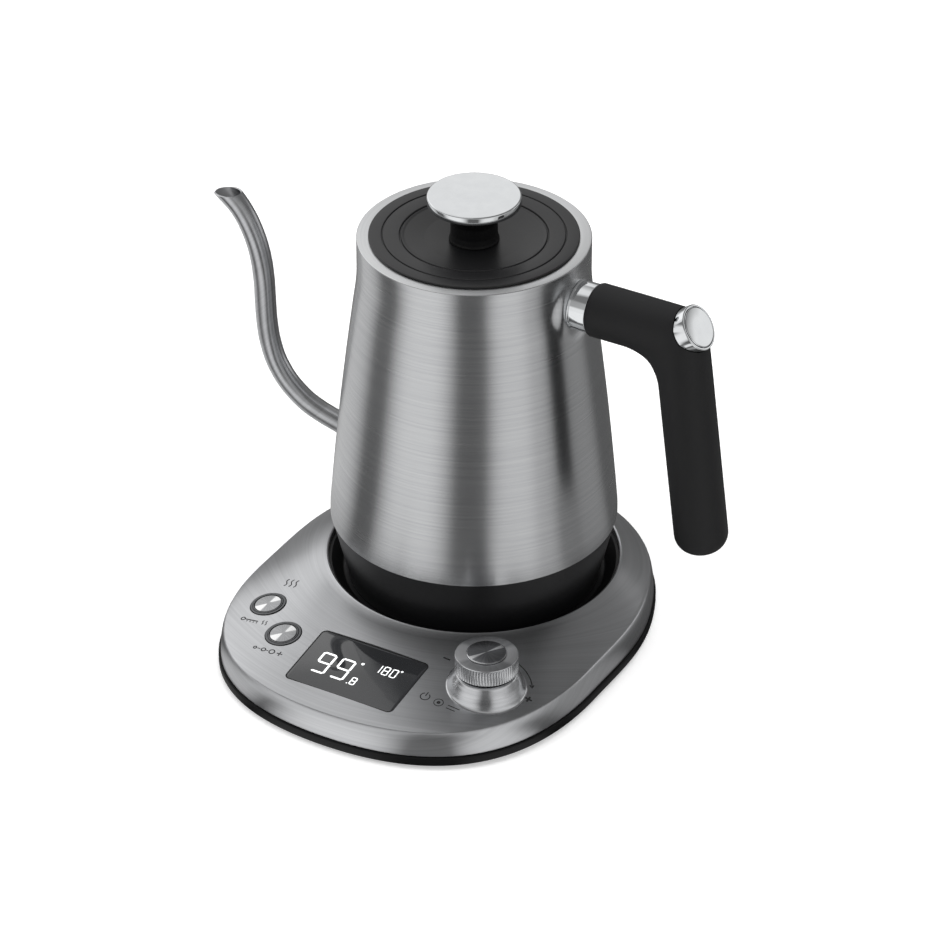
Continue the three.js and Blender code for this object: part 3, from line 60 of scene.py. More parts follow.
def addCamera():
    azimuth, elevation = radians(view["azimuth"]), radians(view["elevation"])
    back = Vector((sin(azimuth) * cos(elevation), -cos(azimuth) * cos(elevation), sin(elevation)))
    aside = Vector((cos(azimuth), sin(azimuth), 0)) * view["aimAside"]
    aim = axisPlace + Vector((0, 0, view["aimHeight"])) + aside
    bpy.ops.object.camera_add(location=aim + back * view["distance"],
                              rotation=back.to_track_quat("Z", "Y").to_euler())
    camera = bpy.context.object
    camera.data.lens = view["lens"]
    camera.data.sensor_width = view["sensor"]
    camera.data.clip_end = 20  # beyond the far edge of the floor
    bpy.context.scene.camera = camera


addCamera()

# Materials


def colour(hexValue, alpha=1.0):
    parts = [int(hexValue[i:i + 2], 16) / 255 for i in (1, 3, 5)]
    return [p / 12.92 if p <= 0.04045 else ((p + 0.055) / 1.055) ** 2.4 for p in parts] + [alpha]


def addNode(tree, kind, inputs=None, **settings):
    node = tree.nodes.new("ShaderNode" + kind)
    for name, value in settings.items():
        setattr(node, name, value)
    for name, value in (inputs or {}).items():
        if isinstance(value, bpy.types.NodeSocket):
            tree.links.new(value, node.inputs[name])
        else:
            node.inputs[name].default_value = value
    return node.outputs


def startMaterial(name, **values):
    material = bpy.data.materials.new(name)
    material.use_nodes = True
    tree = material.node_tree
    shader = tree.nodes["Principled BSDF"]
    for socket, value in values.items():
        shader.inputs[socket.replace("_", " ")].default_value = value
    return material, tree, shader


def finishSurface(tree, shader, tone, tints, wear, shine, relief, depth):
    # the tone picks the colour, the wear picks how dull it is, and the relief gives the fine grain
    tint = addNode(tree, "Mix", {0: tone, 6: colour(tints[0]), 7: colour(tints[1])}, data_type="RGBA")
    tree.links.new(tint[2], shader.inputs["Base Color"])
    dulled = addNode(tree, "MapRange", {"Value": wear, "To Min": shine[0], "To Max": shine[1]})
    tree.links.new(dulled["Result"], shader.inputs["Roughness"])
    bump = addNode(tree, "Bump", {"Height": relief, "Distance": depth * metre, "Strength": 1.0})
    tree.links.new(bump["Normal"], shader.inputs["Normal"])


def aroundAxis(tree, shader, centre, kept):
    # the offset, distance and direction from an upright axis, round which the metal's grain runs
    place = addNode(tree, "TexCoord")["Object"]
    offset = addNode(tree, "VectorMath", {0: place, 1: centre}, operation="SUBTRACT")[0]
    flat = addNode(tree, "VectorMath", {0: offset, 1: kept}, operation="MULTIPLY")[0]
    radius = addNode(tree, "VectorMath", {0: flat}, operation="LENGTH")["Value"]
    outward = addNode(tree, "VectorMath", {0: flat}, operation="NORMALIZE")[0]
    tangent = addNode(tree, "VectorMath", {0: (0, 0, 1), 1: outward}, operation="CROSS_PRODUCT")[0]
    tangent = addNode(tree, "VectorTransform", {0: tangent}, vector_type="VECTOR", convert_from="OBJECT",
                      convert_to="WORLD")[0]
    tree.links.new(tangent, shader.inputs["Tangent"])
    parts = addNode(tree, "SeparateXYZ", {0: outward})
    return offset, radius, parts["X"], parts["Y"]


def brushedSteel(name, centre, dark, light, roughness, streakLength, streakWidth=0.5, depth=0.002):
    # stainless steel, brushed round an axis: fine rings of scratches that draw each light out across them
    material, tree, shader = startMaterial(name, Metallic=1.0, Anisotropic=0.7, Anisotropic_Rotation=0.25)
    offset, radius, x, y = aroundAxis(tree, shader, centre, (1, 1, 0))
    height = addNode(tree, "SeparateXYZ", {0: offset})["Z"]
    across = addNode(tree, "Math", {0: height, 1: radius}, operation="ADD")[0]
    streaks = []
    for width, length in ((streakWidth, streakLength), (streakWidth * 2.8, streakLength * 1.5)):
        turns = 60 / length
        around = [addNode(tree, "Math", {0: v, 1: turns}, operation="MULTIPLY")[0] for v in (x, y)]
        lines = addNode(tree, "Math", {0: across, 1: 1 / (width * metre)}, operation="MULTIPLY")[0]
        vector = addNode(tree, "CombineXYZ", {"X": around[0], "Y": around[1], "Z": lines})[0]
        streaks.append(addNode(tree, "TexNoise", {"Vector": vector, "Scale": 1.0, "Detail": 1.0})[0])
    tone = addNode(tree, "Math", {0: streaks[0], 1: streaks[1]}, operation="ADD")[0]
    tone = addNode(tree, "MapRange", {"Value": tone, "From Min": 0.7, "From Max": 1.3})["Result"]
    shine = (roughness - 0.01, roughness + 0.02)
    finishSurface(tree, shader, tone, (dark, light), streaks[0], shine, streaks[0], depth)
    return material


def mouldedPlastic(name, dark, light, roughness, grain, depth, ior=1.5):
    # moulded plastic: a fine spark-eroded grain that breaks up the shine
    material, tree, shader = startMaterial(name, IOR=ior)
    place = addNode(tree, "TexCoord")["Object"]
    fine = addNode(tree, "TexNoise", {"Vector": place, "Scale": 1 / (grain * metre), "Detail": 2.0})[0]
    broad = addNode(tree, "TexNoise", {"Vector": place, "Scale": 1 / (40 * metre), "Detail": 2.0})[0]
    finishSurface(tree, shader, broad, (dark, light), broad, (roughness - 0.04, roughness + 0.04), fine, depth)
    return material


def plainMetal(name, dark, light, roughness, grain=6, depth=0.001):
    # plated, polished or turned metal: nearly mirror-like, with faint wipe marks
    material, tree, shader = startMaterial(name, Metallic=1.0)
    place = addNode(tree, "TexCoord")["Object"]
    marks = addNode(tree, "TexNoise", {"Vector": place, "Scale": 1 / (grain * metre), "Detail": 3.0})[0]
    shine = (max(roughness - 0.02, 0.01), roughness + 0.02)
    finishSurface(tree, shader, marks, (dark, light), marks, shine, marks, depth)
    return material


def spunMetal(name, centre, dark, light, roughness, paintedBeam=(62, 22)):
    # metal faced on a lathe: fine rings, with a bright fan to either side painted into its colour as a painted
    # highlight; the beam is that painted highlight's turn and half width
    material, tree, shader = startMaterial(name, Metallic=1.0, Anisotropic=0.6, Anisotropic_Rotation=0.25)
    _, radius, x, y = aroundAxis(tree, shader, centre, (1, 1, 1))
    rings = addNode(tree, "Math", {0: radius, 1: 1 / (0.3 * metre)}, operation="MULTIPLY")[0]
    vector = addNode(tree, "CombineXYZ", {"X": rings})[0]
    grooves = addNode(tree, "TexNoise", {"Vector": vector, "Scale": 1.0, "Detail": 2.0})[0]
    squares = [addNode(tree, "Math", {0: v, 1: v}, operation="MULTIPLY")[0] for v in (x, y)]
    double = addNode(tree, "Math", {0: squares[0], 1: squares[1]}, operation="SUBTRACT")[0]
    cross = addNode(tree, "Math", {0: x, 1: y}, operation="MULTIPLY")[0]
    cross = addNode(tree, "Math", {0: cross, 1: 2.0}, operation="MULTIPLY")[0]
    twice = addNode(tree, "CombineXYZ", {"X": double, "Y": cross})[0]
    # noise by the doubled angle breaks the painted highlight into uneven wedges
    streaks = addNode(tree, "TexNoise", {"Vector": twice, "Scale": 3.0, "Detail": 2.0})[0]
    streaks = addNode(tree, "MapRange", {"Value": streaks, "To Min": -0.1, "To Max": 0.35})["Result"]
    aim, spread = radians(paintedBeam[0] * 2), radians(paintedBeam[1] * 2)
    paintedFan = addNode(tree, "VectorMath", {0: twice, 1: (cos(aim), sin(aim), 0)}, operation="DOT_PRODUCT")["Value"]
    paintedFan = addNode(tree, "MapRange", {"Value": paintedFan, "From Min": cos(spread * 1.35), "From Max": cos(spread * 0.65)},
                  interpolation_type="SMOOTHSTEP")["Result"]
    paintedFan = addNode(tree, "Math", {0: paintedFan, 1: streaks}, operation="ADD", use_clamp=True)[0]
    # the painted highlight picks the colour between the dark and the light tint
    finishSurface(tree, shader, paintedFan, (dark, light), grooves, (roughness - 0.04, roughness + 0.04), grooves, 0.003)
    return material


def tableSpot(x, y, z=0.0):
    return kettleFrame @ Vector((x, y, z))


print("stage: materials")
knobSpot = (54.2, -83.1)
bodySteel = brushedSteel("brushedStainlessBody", tableSpot(0, 0), "#c1c2c4", "#cccdce", 0.26, 45, 0.35, 0.0007)
# a lighter copy of the body's steel for the rim's upward faces: painted light on the top of the rim
paintedLightRimSteel = brushedSteel("brushedStainlessRimPaintedLight", tableSpot(0, 0), "#d6d7d8", "#dedfe0", 0.28, 45, 0.35, 0.001)
coverSteel = brushedSteel("brushedStainlessCover", tableSpot(0, 0), "#c0c1c3", "#cbccce", 0.3, 60, 0.35, 0.0007)
spoutSteel = brushedSteel("satinStainlessSpout", tableSpot(-63, 0), "#babbbd", "#c8c9cb", 0.28, 80, depth=0.001)
pedestalSteel = brushedSteel("turnedStainlessPedestal", tableSpot(*knobSpot), "#c1c2c4", "#cfd0d2", 0.17, 200, 0.4,
                             0.0006)
knobMetal = brushedSteel("turnedAluminiumKnob", tableSpot(*knobSpot), "#c8c9cb", "#d8d9db", 0.24, 200, 0.4, 0.001)
chromePlate = plainMetal("polishedChrome", "#dfe1e3", "#eceeef", 0.05)
steelStock = plainMetal("zincPlatedSteel", "#a9adb2", "#c3c6c9", 0.32, 1.2)
brassStock = plainMetal("turnedBrass", "#b7924a", "#cba862", 0.3, 1.2)
heaterMetal = plainMetal("castAluminium", "#a6a8aa", "#bfc1c3", 0.5, 0.8, 0.01)
satinBlack = mouldedPlastic("satinBlackNylon", "#131314", "#1a1a1c", 0.42, 0.35, 0.006)
lidBlack = mouldedPlastic("satinBlackLid", "#151516", "#1d1d1e", 0.36, 0.35, 0.004)
gripBlack = mouldedPlastic("softTouchRubber", "#141415", "#1a1a1b", 0.58, 0.3, 0.01, 1.4)
trayBlack = mouldedPlastic("satinBlackTray", "#0a0a0b", "#0f0f10", 0.6, 0.35, 0.006, 1.3)
# a darker copy of the lid's black for the neck: painted shade under the knob disc
shadedNeckBlack = mouldedPlastic("satinBlackNeckPaintedShade", "#060607", "#0a0a0b", 0.5, 0.35, 0.004, 1.35)
printInk = mouldedPlastic("printedInk", "#19191a", "#202021", 0.6, 0.3, 0.002)
collarGrey = plainMetal("anodisedGreyCollar", "#6f7072", "#7c7d7f", 0.4, 1.5)
bezelGrey = plainMetal("anodisedGreyBezel", "#6c6d6f", "#78797b", 0.42, 1.5)
darkGap = mouldedPlastic("shadedBlackPlastic", "#0b0b0c", "#101011", 0.5, 0.4, 0.006)
footRubber = mouldedPlastic("footRubber", "#121212", "#1a1a1a", 0.8, 0.6, 0.02)
sealRubber = mouldedPlastic("siliconeRubber", "#b9bcb8", "#c9ccc8", 0.55, 0.5, 0.004, 1.41)
boardGreen = mouldedPlastic("lacqueredCircuitBoard", "#17492f", "#226444", 0.4, 1.0, 0.01)
relayBlue = mouldedPlastic("mouldedRelayCase", "#23508f", "#2c60a6", 0.4, 0.4, 0.004)

slotLooks = {
    "brushed_steel": coverSteel, "chrome": chromePlate, "plain_steel": steelStock, "black_plastic": satinBlack,
    "soft_black": gripBlack, "foot_rubber": footRubber, "silicone": sealRubber, "smoked_window": darkGap,
    "circuit_board": boardGreen, "brass": brassStock, "aluminium": heaterMetal, "relay_blue": relayBlue,
}
for part in frame["record"]["subparts"]:
    mesh = frame["nodes"][part["node"]].data
    mesh.materials.clear()
    mesh.materials.append(slotLooks[part["material_slot"]])

# Modelling helpers


def deselectAll():
    if bpy.context.mode != "OBJECT":
        bpy.ops.object.mode_set(mode="OBJECT")
    bpy.ops.object.select_all(action="DESELECT")


def activate(piece):
    deselectAll()
    piece.select_set(True)
    bpy.context.view_layer.objects.active = piece


def editAll(piece):
    activate(piece)
    bpy.ops.object.mode_set(mode="EDIT")
    bpy.ops.mesh.select_all(action="SELECT")


def leaveEdit():
    bpy.ops.object.mode_set(mode="OBJECT")


def applyModifiers(piece):
    activate(piece)
    for modifier in list(piece.modifiers):
        bpy.ops.object.modifier_apply(modifier=modifier.name)


def softened(profile, steps=5):
    # rounds each corner that has a radius as its third number
    points = []
    for i, corner in enumerate(profile):
        here = Vector(corner[:2])
        if len(corner) < 3 or i in (0, len(profile) - 1):
            points.append(here)
            continue
        before, after = Vector(profile[i - 1][:2]) - here, Vector(profile[i + 1][:2]) - here
        spread = before.angle(after)
        reach = min(corner[2] / tan(spread / 2), before.length * 0.49, after.length * 0.49)
        start, end = here + before.normalized() * reach, here + after.normalized() * reach
        for s in range(steps + 1):
            share = s / steps
            points.append(start.lerp(here, share).lerp(here.lerp(end, share), share))
    return points


def turnPiece(name, profile, segments=128, closed=False):
    # a circle pulled along its profile, as on a lathe
    points = softened(profile)
    if closed:
        points.append(points[0])
    deselectAll()
    bpy.ops.mesh.primitive_circle_add(vertices=segments, radius=points[0].x, location=(0, 0, points[0].y))
    piece = bpy.context.object
    piece.name = piece.data.name = name
    editAll(piece)
    for here, there in zip(points, points[1:]):
        wider = there.x / here.x
        bpy.ops.mesh.extrude_region_move(TRANSFORM_OT_translate={"value": (0, 0, there.y - here.y)})
        bpy.ops.transform.resize(value=(wider, wider, 1), center_override=(0, 0, there.y))
    bpy.ops.mesh.select_all(action="SELECT")
    if closed:
        bpy.ops.mesh.remove_doubles(threshold=0.0005)
    else:
        bpy.ops.mesh.fill_holes(sides=0)
    bpy.ops.mesh.normals_make_consistent(inside=False)
    leaveEdit()
    bpy.ops.object.transform_apply()
    return piece


def loftPiece(name, rings, closed=False):
    # a grid bent through rings of points; its seam is merged and its ends are filled
    rows = rings + [rings[0]] if closed else rings
    count = len(rings[0])
    deselectAll()
    bpy.ops.mesh.primitive_grid_add(x_subdivisions=count, y_subdivisions=len(rows) - 1, size=1)
    piece = bpy.context.object
    piece.name = piece.data.name = name
    for row, ring in enumerate(rows):
        for i in range(count + 1):
            piece.data.vertices[row * (count + 1) + i].co = ring[i % count]
    editAll(piece)
    bpy.ops.mesh.remove_doubles(threshold=0.0005)
    if not closed:
        bpy.ops.mesh.fill_holes(sides=0)
    bpy.ops.mesh.normals_make_consistent(inside=False)
    leaveEdit()
    return piece


def cutBy(piece, cutters, operation="DIFFERENCE"):
    for cutter in cutters:
        modifier = piece.modifiers.new("cut", "BOOLEAN")
        modifier.operation, modifier.solver, modifier.object = operation, "EXACT", cutter
        applyModifiers(piece)
        activate(cutter)
        bpy.ops.object.delete()
    activate(piece)


def roundedPlate(name, width, depth, corner, low, high, edge=0.0, segments=8):
    # a cube pulled to size, its upright edges bevelled to the corner radius
    deselectAll()
    bpy.ops.mesh.primitive_cube_add(size=1, location=(0, 0, (low + high) / 2), scale=(width, depth, high - low))
    piece = bpy.context.object
    piece.name = piece.data.name = name
    bpy.ops.object.transform_apply()
    editAll(piece)
    bpy.ops.mesh.select_mode(type="EDGE")
    bpy.ops.mesh.select_all(action="DESELECT")
    mesh = bmesh.from_edit_mesh(piece.data)
    for line in mesh.edges:
        line.select_set(abs(line.verts[0].co.z - line.verts[1].co.z) > (high - low) / 2)
    bmesh.update_edit_mesh(piece.data)
    bpy.ops.mesh.bevel(offset=corner, segments=segments, affect="EDGES")
    bpy.ops.mesh.select_mode(type="VERT")
    leaveEdit()
    if edge:
        modifier = piece.modifiers.new("edge", "BEVEL")
        modifier.width, modifier.segments, modifier.limit_method = edge, 2, "ANGLE"
        modifier.angle_limit = radians(50)
        applyModifiers(piece)
    return piece


def movePiece(piece, matrix):
    piece.matrix_world = matrix @ piece.matrix_world
    activate(piece)
    bpy.ops.object.transform_apply()


def joinPieces(pieces, name):
    deselectAll()
    for piece in pieces:
        piece.select_set(True)
    bpy.context.view_layer.objects.active = pieces[0]
    bpy.ops.object.join()
    pieces[0].name = pieces[0].data.name = name
    return pieces[0]


def lyingAt(x, z, lean=pi / 2):
    # a seat whose upright axis leans to +X
    return Matrix.Translation((x, 0, z)) @ Matrix.Rotation(lean, 4, "Y")


def addLook(piece, material, chosen):
    # a second material on the chosen faces
    piece.data.materials.append(material)
    for polygon in piece.data.polygons:
        if chosen(polygon):
            polygon.material_index = 1


def circlePoints(radius, z, count, dip=0.0, waves=0):
    # a level ring, with waves cut into it to the depth of the dip
    points = []
    for i in range(count):
        turn = 2 * pi * i / count
        reach = radius - dip * (0.5 - 0.5 * cos(turn * waves))
        points.append(Vector((reach * cos(turn), reach * sin(turn), z)))
    return points


def placePiece(piece, body, material, replaced=(), smooth=32):
    movePiece(piece, kettleFrame)
    piece.data.materials.clear()
    piece.data.materials.append(material)
    activate(piece)
    bpy.ops.object.shade_smooth_by_angle(angle=radians(smooth))
    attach(piece, body)
    if replaced:
        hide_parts(*replaced)
    return piece


# Plan of the base: a back arc round the kettle, long sides and a bowed front

plan = {"backRadius": 83, "backArcEnd": 25, "arcHandle": 33.7, "halfWidth": 87.2, "widestY": -45.2,
        "sideHandle": 31.8, "cornerHandle": 52.6, "frontHandle": 63.4, "frontY": -133.8, "steps": 320}


def bezierLine(ends, steps=60):
    a, b, c, d = ends
    line = []
    for i in range(steps):
        t = i / steps
        line.append(a * (1 - t) ** 3 + b * 3 * t * (1 - t) ** 2 + c * 3 * t * t * (1 - t) + d * t ** 3)
    return line


def evenly(line, count):
    # the same closed line with its points at even distances
    gaps = [(line[(i + 1) % len(line)] - p).length for i, p in enumerate(line)]
    step, points, walked, i = sum(gaps) / count, [], 0.0, 0
    for k in range(count):
        while walked + gaps[i] < k * step:
            walked += gaps[i]
            i += 1
        points.append(line[i].lerp(line[(i + 1) % len(line)], (k * step - walked) / gaps[i]))
    return points


def planLine():
    end = radians(plan["backArcEnd"])
    radius, reach = plan["backRadius"], plan["arcHandle"]
    start = Vector((radius * cos(end), radius * sin(end)))
    near = start + Vector((sin(end), -cos(end))) * reach
    wide = Vector((plan["halfWidth"], plan["widestY"]))
    above, below = wide + Vector((0, plan["sideHandle"])), wide - Vector((0, plan["cornerHandle"]))
    beside, front = Vector((plan["frontHandle"], plan["frontY"])), Vector((0, plan["frontY"]))
    flip = lambda p: Vector((-p.x, p.y))
    arc = [Vector((radius * cos(a), radius * sin(a))) for a in
           [end + (pi - 2 * end) * i / 80 for i in range(80)]]
    return (arc + bezierLine([flip(start), flip(near), flip(above), flip(wide)])
            + bezierLine([flip(wide), flip(below), flip(beside), front])
            + bezierLine([front, beside, below, wide]) + bezierLine([wide, above, near, start]))


planPoints = evenly(planLine(), plan["steps"])


def planInset(inset):
    points = []
    for i, point in enumerate(planPoints):
        along = (planPoints[(i + 1) % len(planPoints)] - planPoints[i - 1]).normalized()
        points.append(point + Vector((-along.y, along.x)) * inset)
    return points


def planRing(inset, z):
    return [Vector((p.x, p.y, z)) for p in planInset(inset)]


# Base

tray = {"floorZ": 2.0, "bandTop": 6.3, "edgeRound": 0.9, "lipInset": 4.2, "lipHeight": 4, "wall": 2, "floor": 2.4,
        "feet": [(50, 50), (-50, 50), (60, -92), (-60, -92)], "footRadius": 7.3, "recess": 1,
        "screws": [(70, 21), (-70, 21), (68, -62), (-68, -62)], "headRadius": 3.2, "headDepth": 1.5}
cover = {"bottomZ": 6.6, "edgeZ": 18.1, "crestZ": 27.2, "wall": 1.6, "holeRadius": 65.95, "lipWidth": 1.5,
         "lipDepth": 2.5, "edgeInset": 3.2, "roofSteps": 14, "buttonHole": 8.5,
         "sides": [(1.0, 6.6), (1.1, 9.5), (1.4, 13.2), (1.85, 15.8), (2.3, 17.1), (2.6, 17.7), (2.9, 18.0),
                   (3.2, 18.1)]}
roofRadius = cover["holeRadius"] + cover["lipWidth"]
roofEdge = planInset(cover["edgeInset"])


def roofRing(share, drop=0.0):
    ring = []
    for point in roofEdge:
        reach = point.length - (drop if share < 1 else 0)
        radius = reach + (roofRadius - reach) * share
        direction = point.normalized()
        z = cover["edgeZ"] + (cover["crestZ"] - cover["edgeZ"]) * share - drop
        ring.append(Vector((direction.x * radius, direction.y * radius, z)))
    return ring


def roofZ(x, y):
    # height of the roof over a place in plan
    direction = atan2(y, x)
    edge = plan["backRadius"]
    for i, a in enumerate(roofEdge):
        b = roofEdge[(i + 1) % len(roofEdge)]
        first, second = atan2(a.y, a.x) - direction, atan2(b.y, b.x) - direction
        first, second = [(v + pi) % (2 * pi) - pi for v in (first, second)]
        if first <= 0 <= second and second - first < 1:
            edge = a.lerp(b, first / (first - second)).length
            break
    return cover["edgeZ"] + (cover["crestZ"] - cover["edgeZ"]) * (edge - hypot(x, y)) / (edge - roofRadius)


def roofSeat(x, y):
    # the place and lean of what sits square on the roof
    step = 0.3
    slopeX = (roofZ(x + step, y) - roofZ(x - step, y)) / (2 * step)
    slopeY = (roofZ(x, y + step) - roofZ(x, y - step)) / (2 * step)
    lean = Vector((0, 0, 1)).rotation_difference(Vector((-slopeX, -slopeY, 1)).normalized())
    return Matrix.Translation((x, y, roofZ(x, y))) @ lean.to_matrix().to_4x4()


display = {"x": -0.6, "y": -101.65, "width": 54.2, "depth": 34.2, "corner": 2.4, "thickness": 1.5, "gap": 0.35}


def displaySeat():
    x, y = display["width"] / 2, display["depth"] / 2
    front, back = roofZ(x, display["y"] - y), roofZ(x, display["y"] + y)
    lean = Matrix.Rotation(atan2(back - front, display["depth"]), 4, "X")
    return Matrix.Translation((display["x"], display["y"], (front + back) / 2)) @ lean


screenSeat = displaySeat()
buttonSpots = {"rear": (-61.9, -77.2), "front": (-43.6, -93.7)}
buttonSeats = {name: roofSeat(*spot) for name, spot in buttonSpots.items()}
knob = {"height": 7.8, "gap": 1.1, "drumRadius": 13.9, "drumHeight": 8.1, "teeth": 64, "toothDepth": 0.5,
        "boreRadius": 10.2, "boreDepth": 4.6, "seatRadius": 8.95, "seatDepth": 1.0, "faceRadius": 8.8,
        "faceProud": 0.85}
knobZ = roofZ(*knobSpot) + knob["height"]
knobSeat = Matrix.Translation((knobSpot[0], knobSpot[1], 0))


def addCylinder(radius, low, high, spot=(0, 0), vertices=96):
    deselectAll()
    bpy.ops.mesh.primitive_cylinder_add(vertices=vertices, radius=radius, depth=high - low,
                                        location=(spot[0], spot[1], (low + high) / 2))
    piece = bpy.context.object
    bpy.ops.object.transform_apply()
    return piece


def buildTray():
    low, top, inside = tray["floorZ"], tray["bandTop"], tray["lipInset"] + tray["wall"]
    edge = tray["edgeRound"]
    rings = [planRing(edge, low), planRing(edge * 0.3, low + edge * 0.3), planRing(0, low + edge),
             planRing(0, top - 0.3), planRing(0.3, top), planRing(tray["lipInset"], top),
             planRing(tray["lipInset"], top + tray["lipHeight"]), planRing(inside, top + tray["lipHeight"]),
             planRing(inside, low + tray["floor"])]
    piece = loftPiece("trayShell", rings)
    cutters = [addCylinder(tray["footRadius"], low - 2, low + tray["recess"], spot, 48) for spot in tray["feet"]]
    headTop = low + tray["headDepth"]
    cutters += [addCylinder(tray["headRadius"], low - 2, headTop, spot, 32) for spot in tray["screws"]]
    cutBy(piece, cutters)
    placePiece(piece, "base", trayBlack, ["base_tray"])


def buildCover():
    outer = [planRing(inset, z) for inset, z in cover["sides"]]
    steps = cover["roofSteps"]
    outer += [roofRing(i / steps) for i in range(1, steps + 1)]
    inner, crest, lip = cover["holeRadius"], cover["crestZ"], cover["lipWidth"]
    lipProfile = [(roofRadius - 0.35 * lip, crest + 0.28), (inner + 0.3 * lip, crest + 0.16),
                  (inner + 0.08 * lip, crest - 0.1), (inner, crest - 0.5), (inner, crest - cover["lipDepth"]),
                  (roofRadius, crest - cover["lipDepth"])]
    directions = [p.normalized() for p in roofEdge]
    lipRings = [[Vector((d.x * r, d.y * r, z)) for d in directions] for r, z in lipProfile]
    wall = cover["wall"]
    inside = [roofRing(share, wall) for share in (1, 0.5, 0)]
    inside.append(planRing(cover["sides"][0][0] + wall, cover["bottomZ"]))
    piece = loftPiece("coverShell", outer + lipRings + inside, closed=True)
    gap = display["gap"]
    width, depth, corner = display["width"] + 2 * gap, display["depth"] + 2 * gap, display["corner"] + gap
    window = roundedPlate("windowCut", width, depth, corner, -6, 3)
    movePiece(window, screenSeat)
    cutters = [window]
    for seat in buttonSeats.values():
        hole = addCylinder(cover["buttonHole"], -5, 3)
        movePiece(hole, seat)
        cutters.append(hole)
    cutBy(piece, cutters)
    placePiece(piece, "base", coverSteel, ["base_cover"], 30)


# radius, height over the roof, and how far the ring has turned level
pedestal = [(18.1, -0.9, 0), (17.95, -0.2, 0), (17.75, 0.02, 0), (17.45, 0.14, 0), (17.15, 0.4, 0.02),
            (16.85, 0.85, 0.06), (16.5, 1.45, 0.13), (16.15, 2.15, 0.24), (15.8, 2.95, 0.38), (15.45, 3.75, 0.54),
            (15.05, 4.5, 0.69), (14.7, 5.2, 0.82), (14.3, 5.85, 0.92), (14.0, 6.4, 0.98), (13.8, 6.95, 1),
            (13.55, 7.4, 1), (13.25, 7.7, 1), (12.7, 7.8, 1), (5, 7.8, 1)]


def buildPedestal():
    # the steel flares up from the sloped roof into a level, turned neck
    centre, rings = roofZ(*knobSpot), []
    for radius, height, level in pedestal:
        ring = [knobSeat @ point for point in circlePoints(radius, height, 128)]
        for point in ring:
            point.z += roofZ(point.x, point.y) * (1 - level) + centre * level
        rings.append(ring)
    piece = loftPiece("knobPedestal", rings)
    placePiece(piece, "base", pedestalSteel, ["base_cover"], 50)


dish = {"rimZ": 24.4, "floorZ": 19.3, "sheet": 1.5, "hole": 19.3, "foot": 60.6, "rim": 66.8}


def buildDish():
    top, floor, sheet = dish["rimZ"], dish["floorZ"], dish["sheet"]
    hole, foot, rim = dish["hole"], dish["foot"], dish["rim"]
    profile = [(hole, floor), (foot - 1.1, floor, 1.5), (foot, floor + 1.1, 0.5), (rim - 2.2, top, 0.4), (rim, top),
               (rim, top - sheet), (rim - 0.7, top - sheet), (foot + sheet, floor), (foot + 0.4, floor - sheet),
               (hole, floor - sheet)]
    piece = turnPiece("wellDish", profile, 160, closed=True)
    placePiece(piece, "base", darkGap, ["well_dish"])


print("stage: base")
buildTray()
buildCover()
buildPedestal()
buildDish()

# Controls

button = {"radius": 8.25, "wall": 1.1, "ringDepth": 3.6, "flange": 1.0, "proud": 0.3, "capRadius": 7.0,
          "collarInner": 6.45, "discRadius": 6.05}


def buildButton(name):
    seat = buttonSeats[name]
    outer, inner = button["radius"], button["radius"] - button["wall"]
    flange, deep, proud = outer + button["flange"], -button["ringDepth"], button["proud"]
    ring = turnPiece(f"buttonRing_{name}", [(inner, deep), (flange, deep), (flange, -2.2), (outer, -2.2),
                                            (outer, proud, 0.25), (inner, proud, 0.25)], 96, closed=True)
    movePiece(ring, seat)
    placePiece(ring, "base", darkGap, [f"button_bezel_{name}"])
    centre, upward = kettleFrame @ seat.translation, seat.to_3x3() @ Vector((0, 0, 1))
    addLook(ring, bezelGrey, lambda p: p.normal.dot(upward) > 0.98 and (p.center - centre).dot(upward) > 0)
    reach, inside, disc = button["capRadius"], button["collarInner"], button["discRadius"]
    collar = turnPiece(f"buttonCollar_{name}", [(1.6, -3.7), (1.6, -2.1), (reach, -2.1), (reach, 0.5, 0.3),
                                                (inside, 0.58, 0.12), (inside, -0.3), (0.3, -0.3)], 96)
    movePiece(collar, seat)
    placePiece(collar, f"button_{name}", collarGrey, [f"button_cap_{name}"])
    face = turnPiece(f"buttonFace_{name}", [(disc, -0.3), (disc, 0.5, 0.25), (0.3, 0.56)], 96)
    movePiece(face, seat)
    # the face's colour runs from dark grey to a near-white painted highlight in wedges
    metal = spunMetal(f"spunAluminiumButton_{name}", centre, "#97989a", "#fafafa", 0.26)
    placePiece(face, f"button_{name}", metal, [f"button_cap_{name}"])


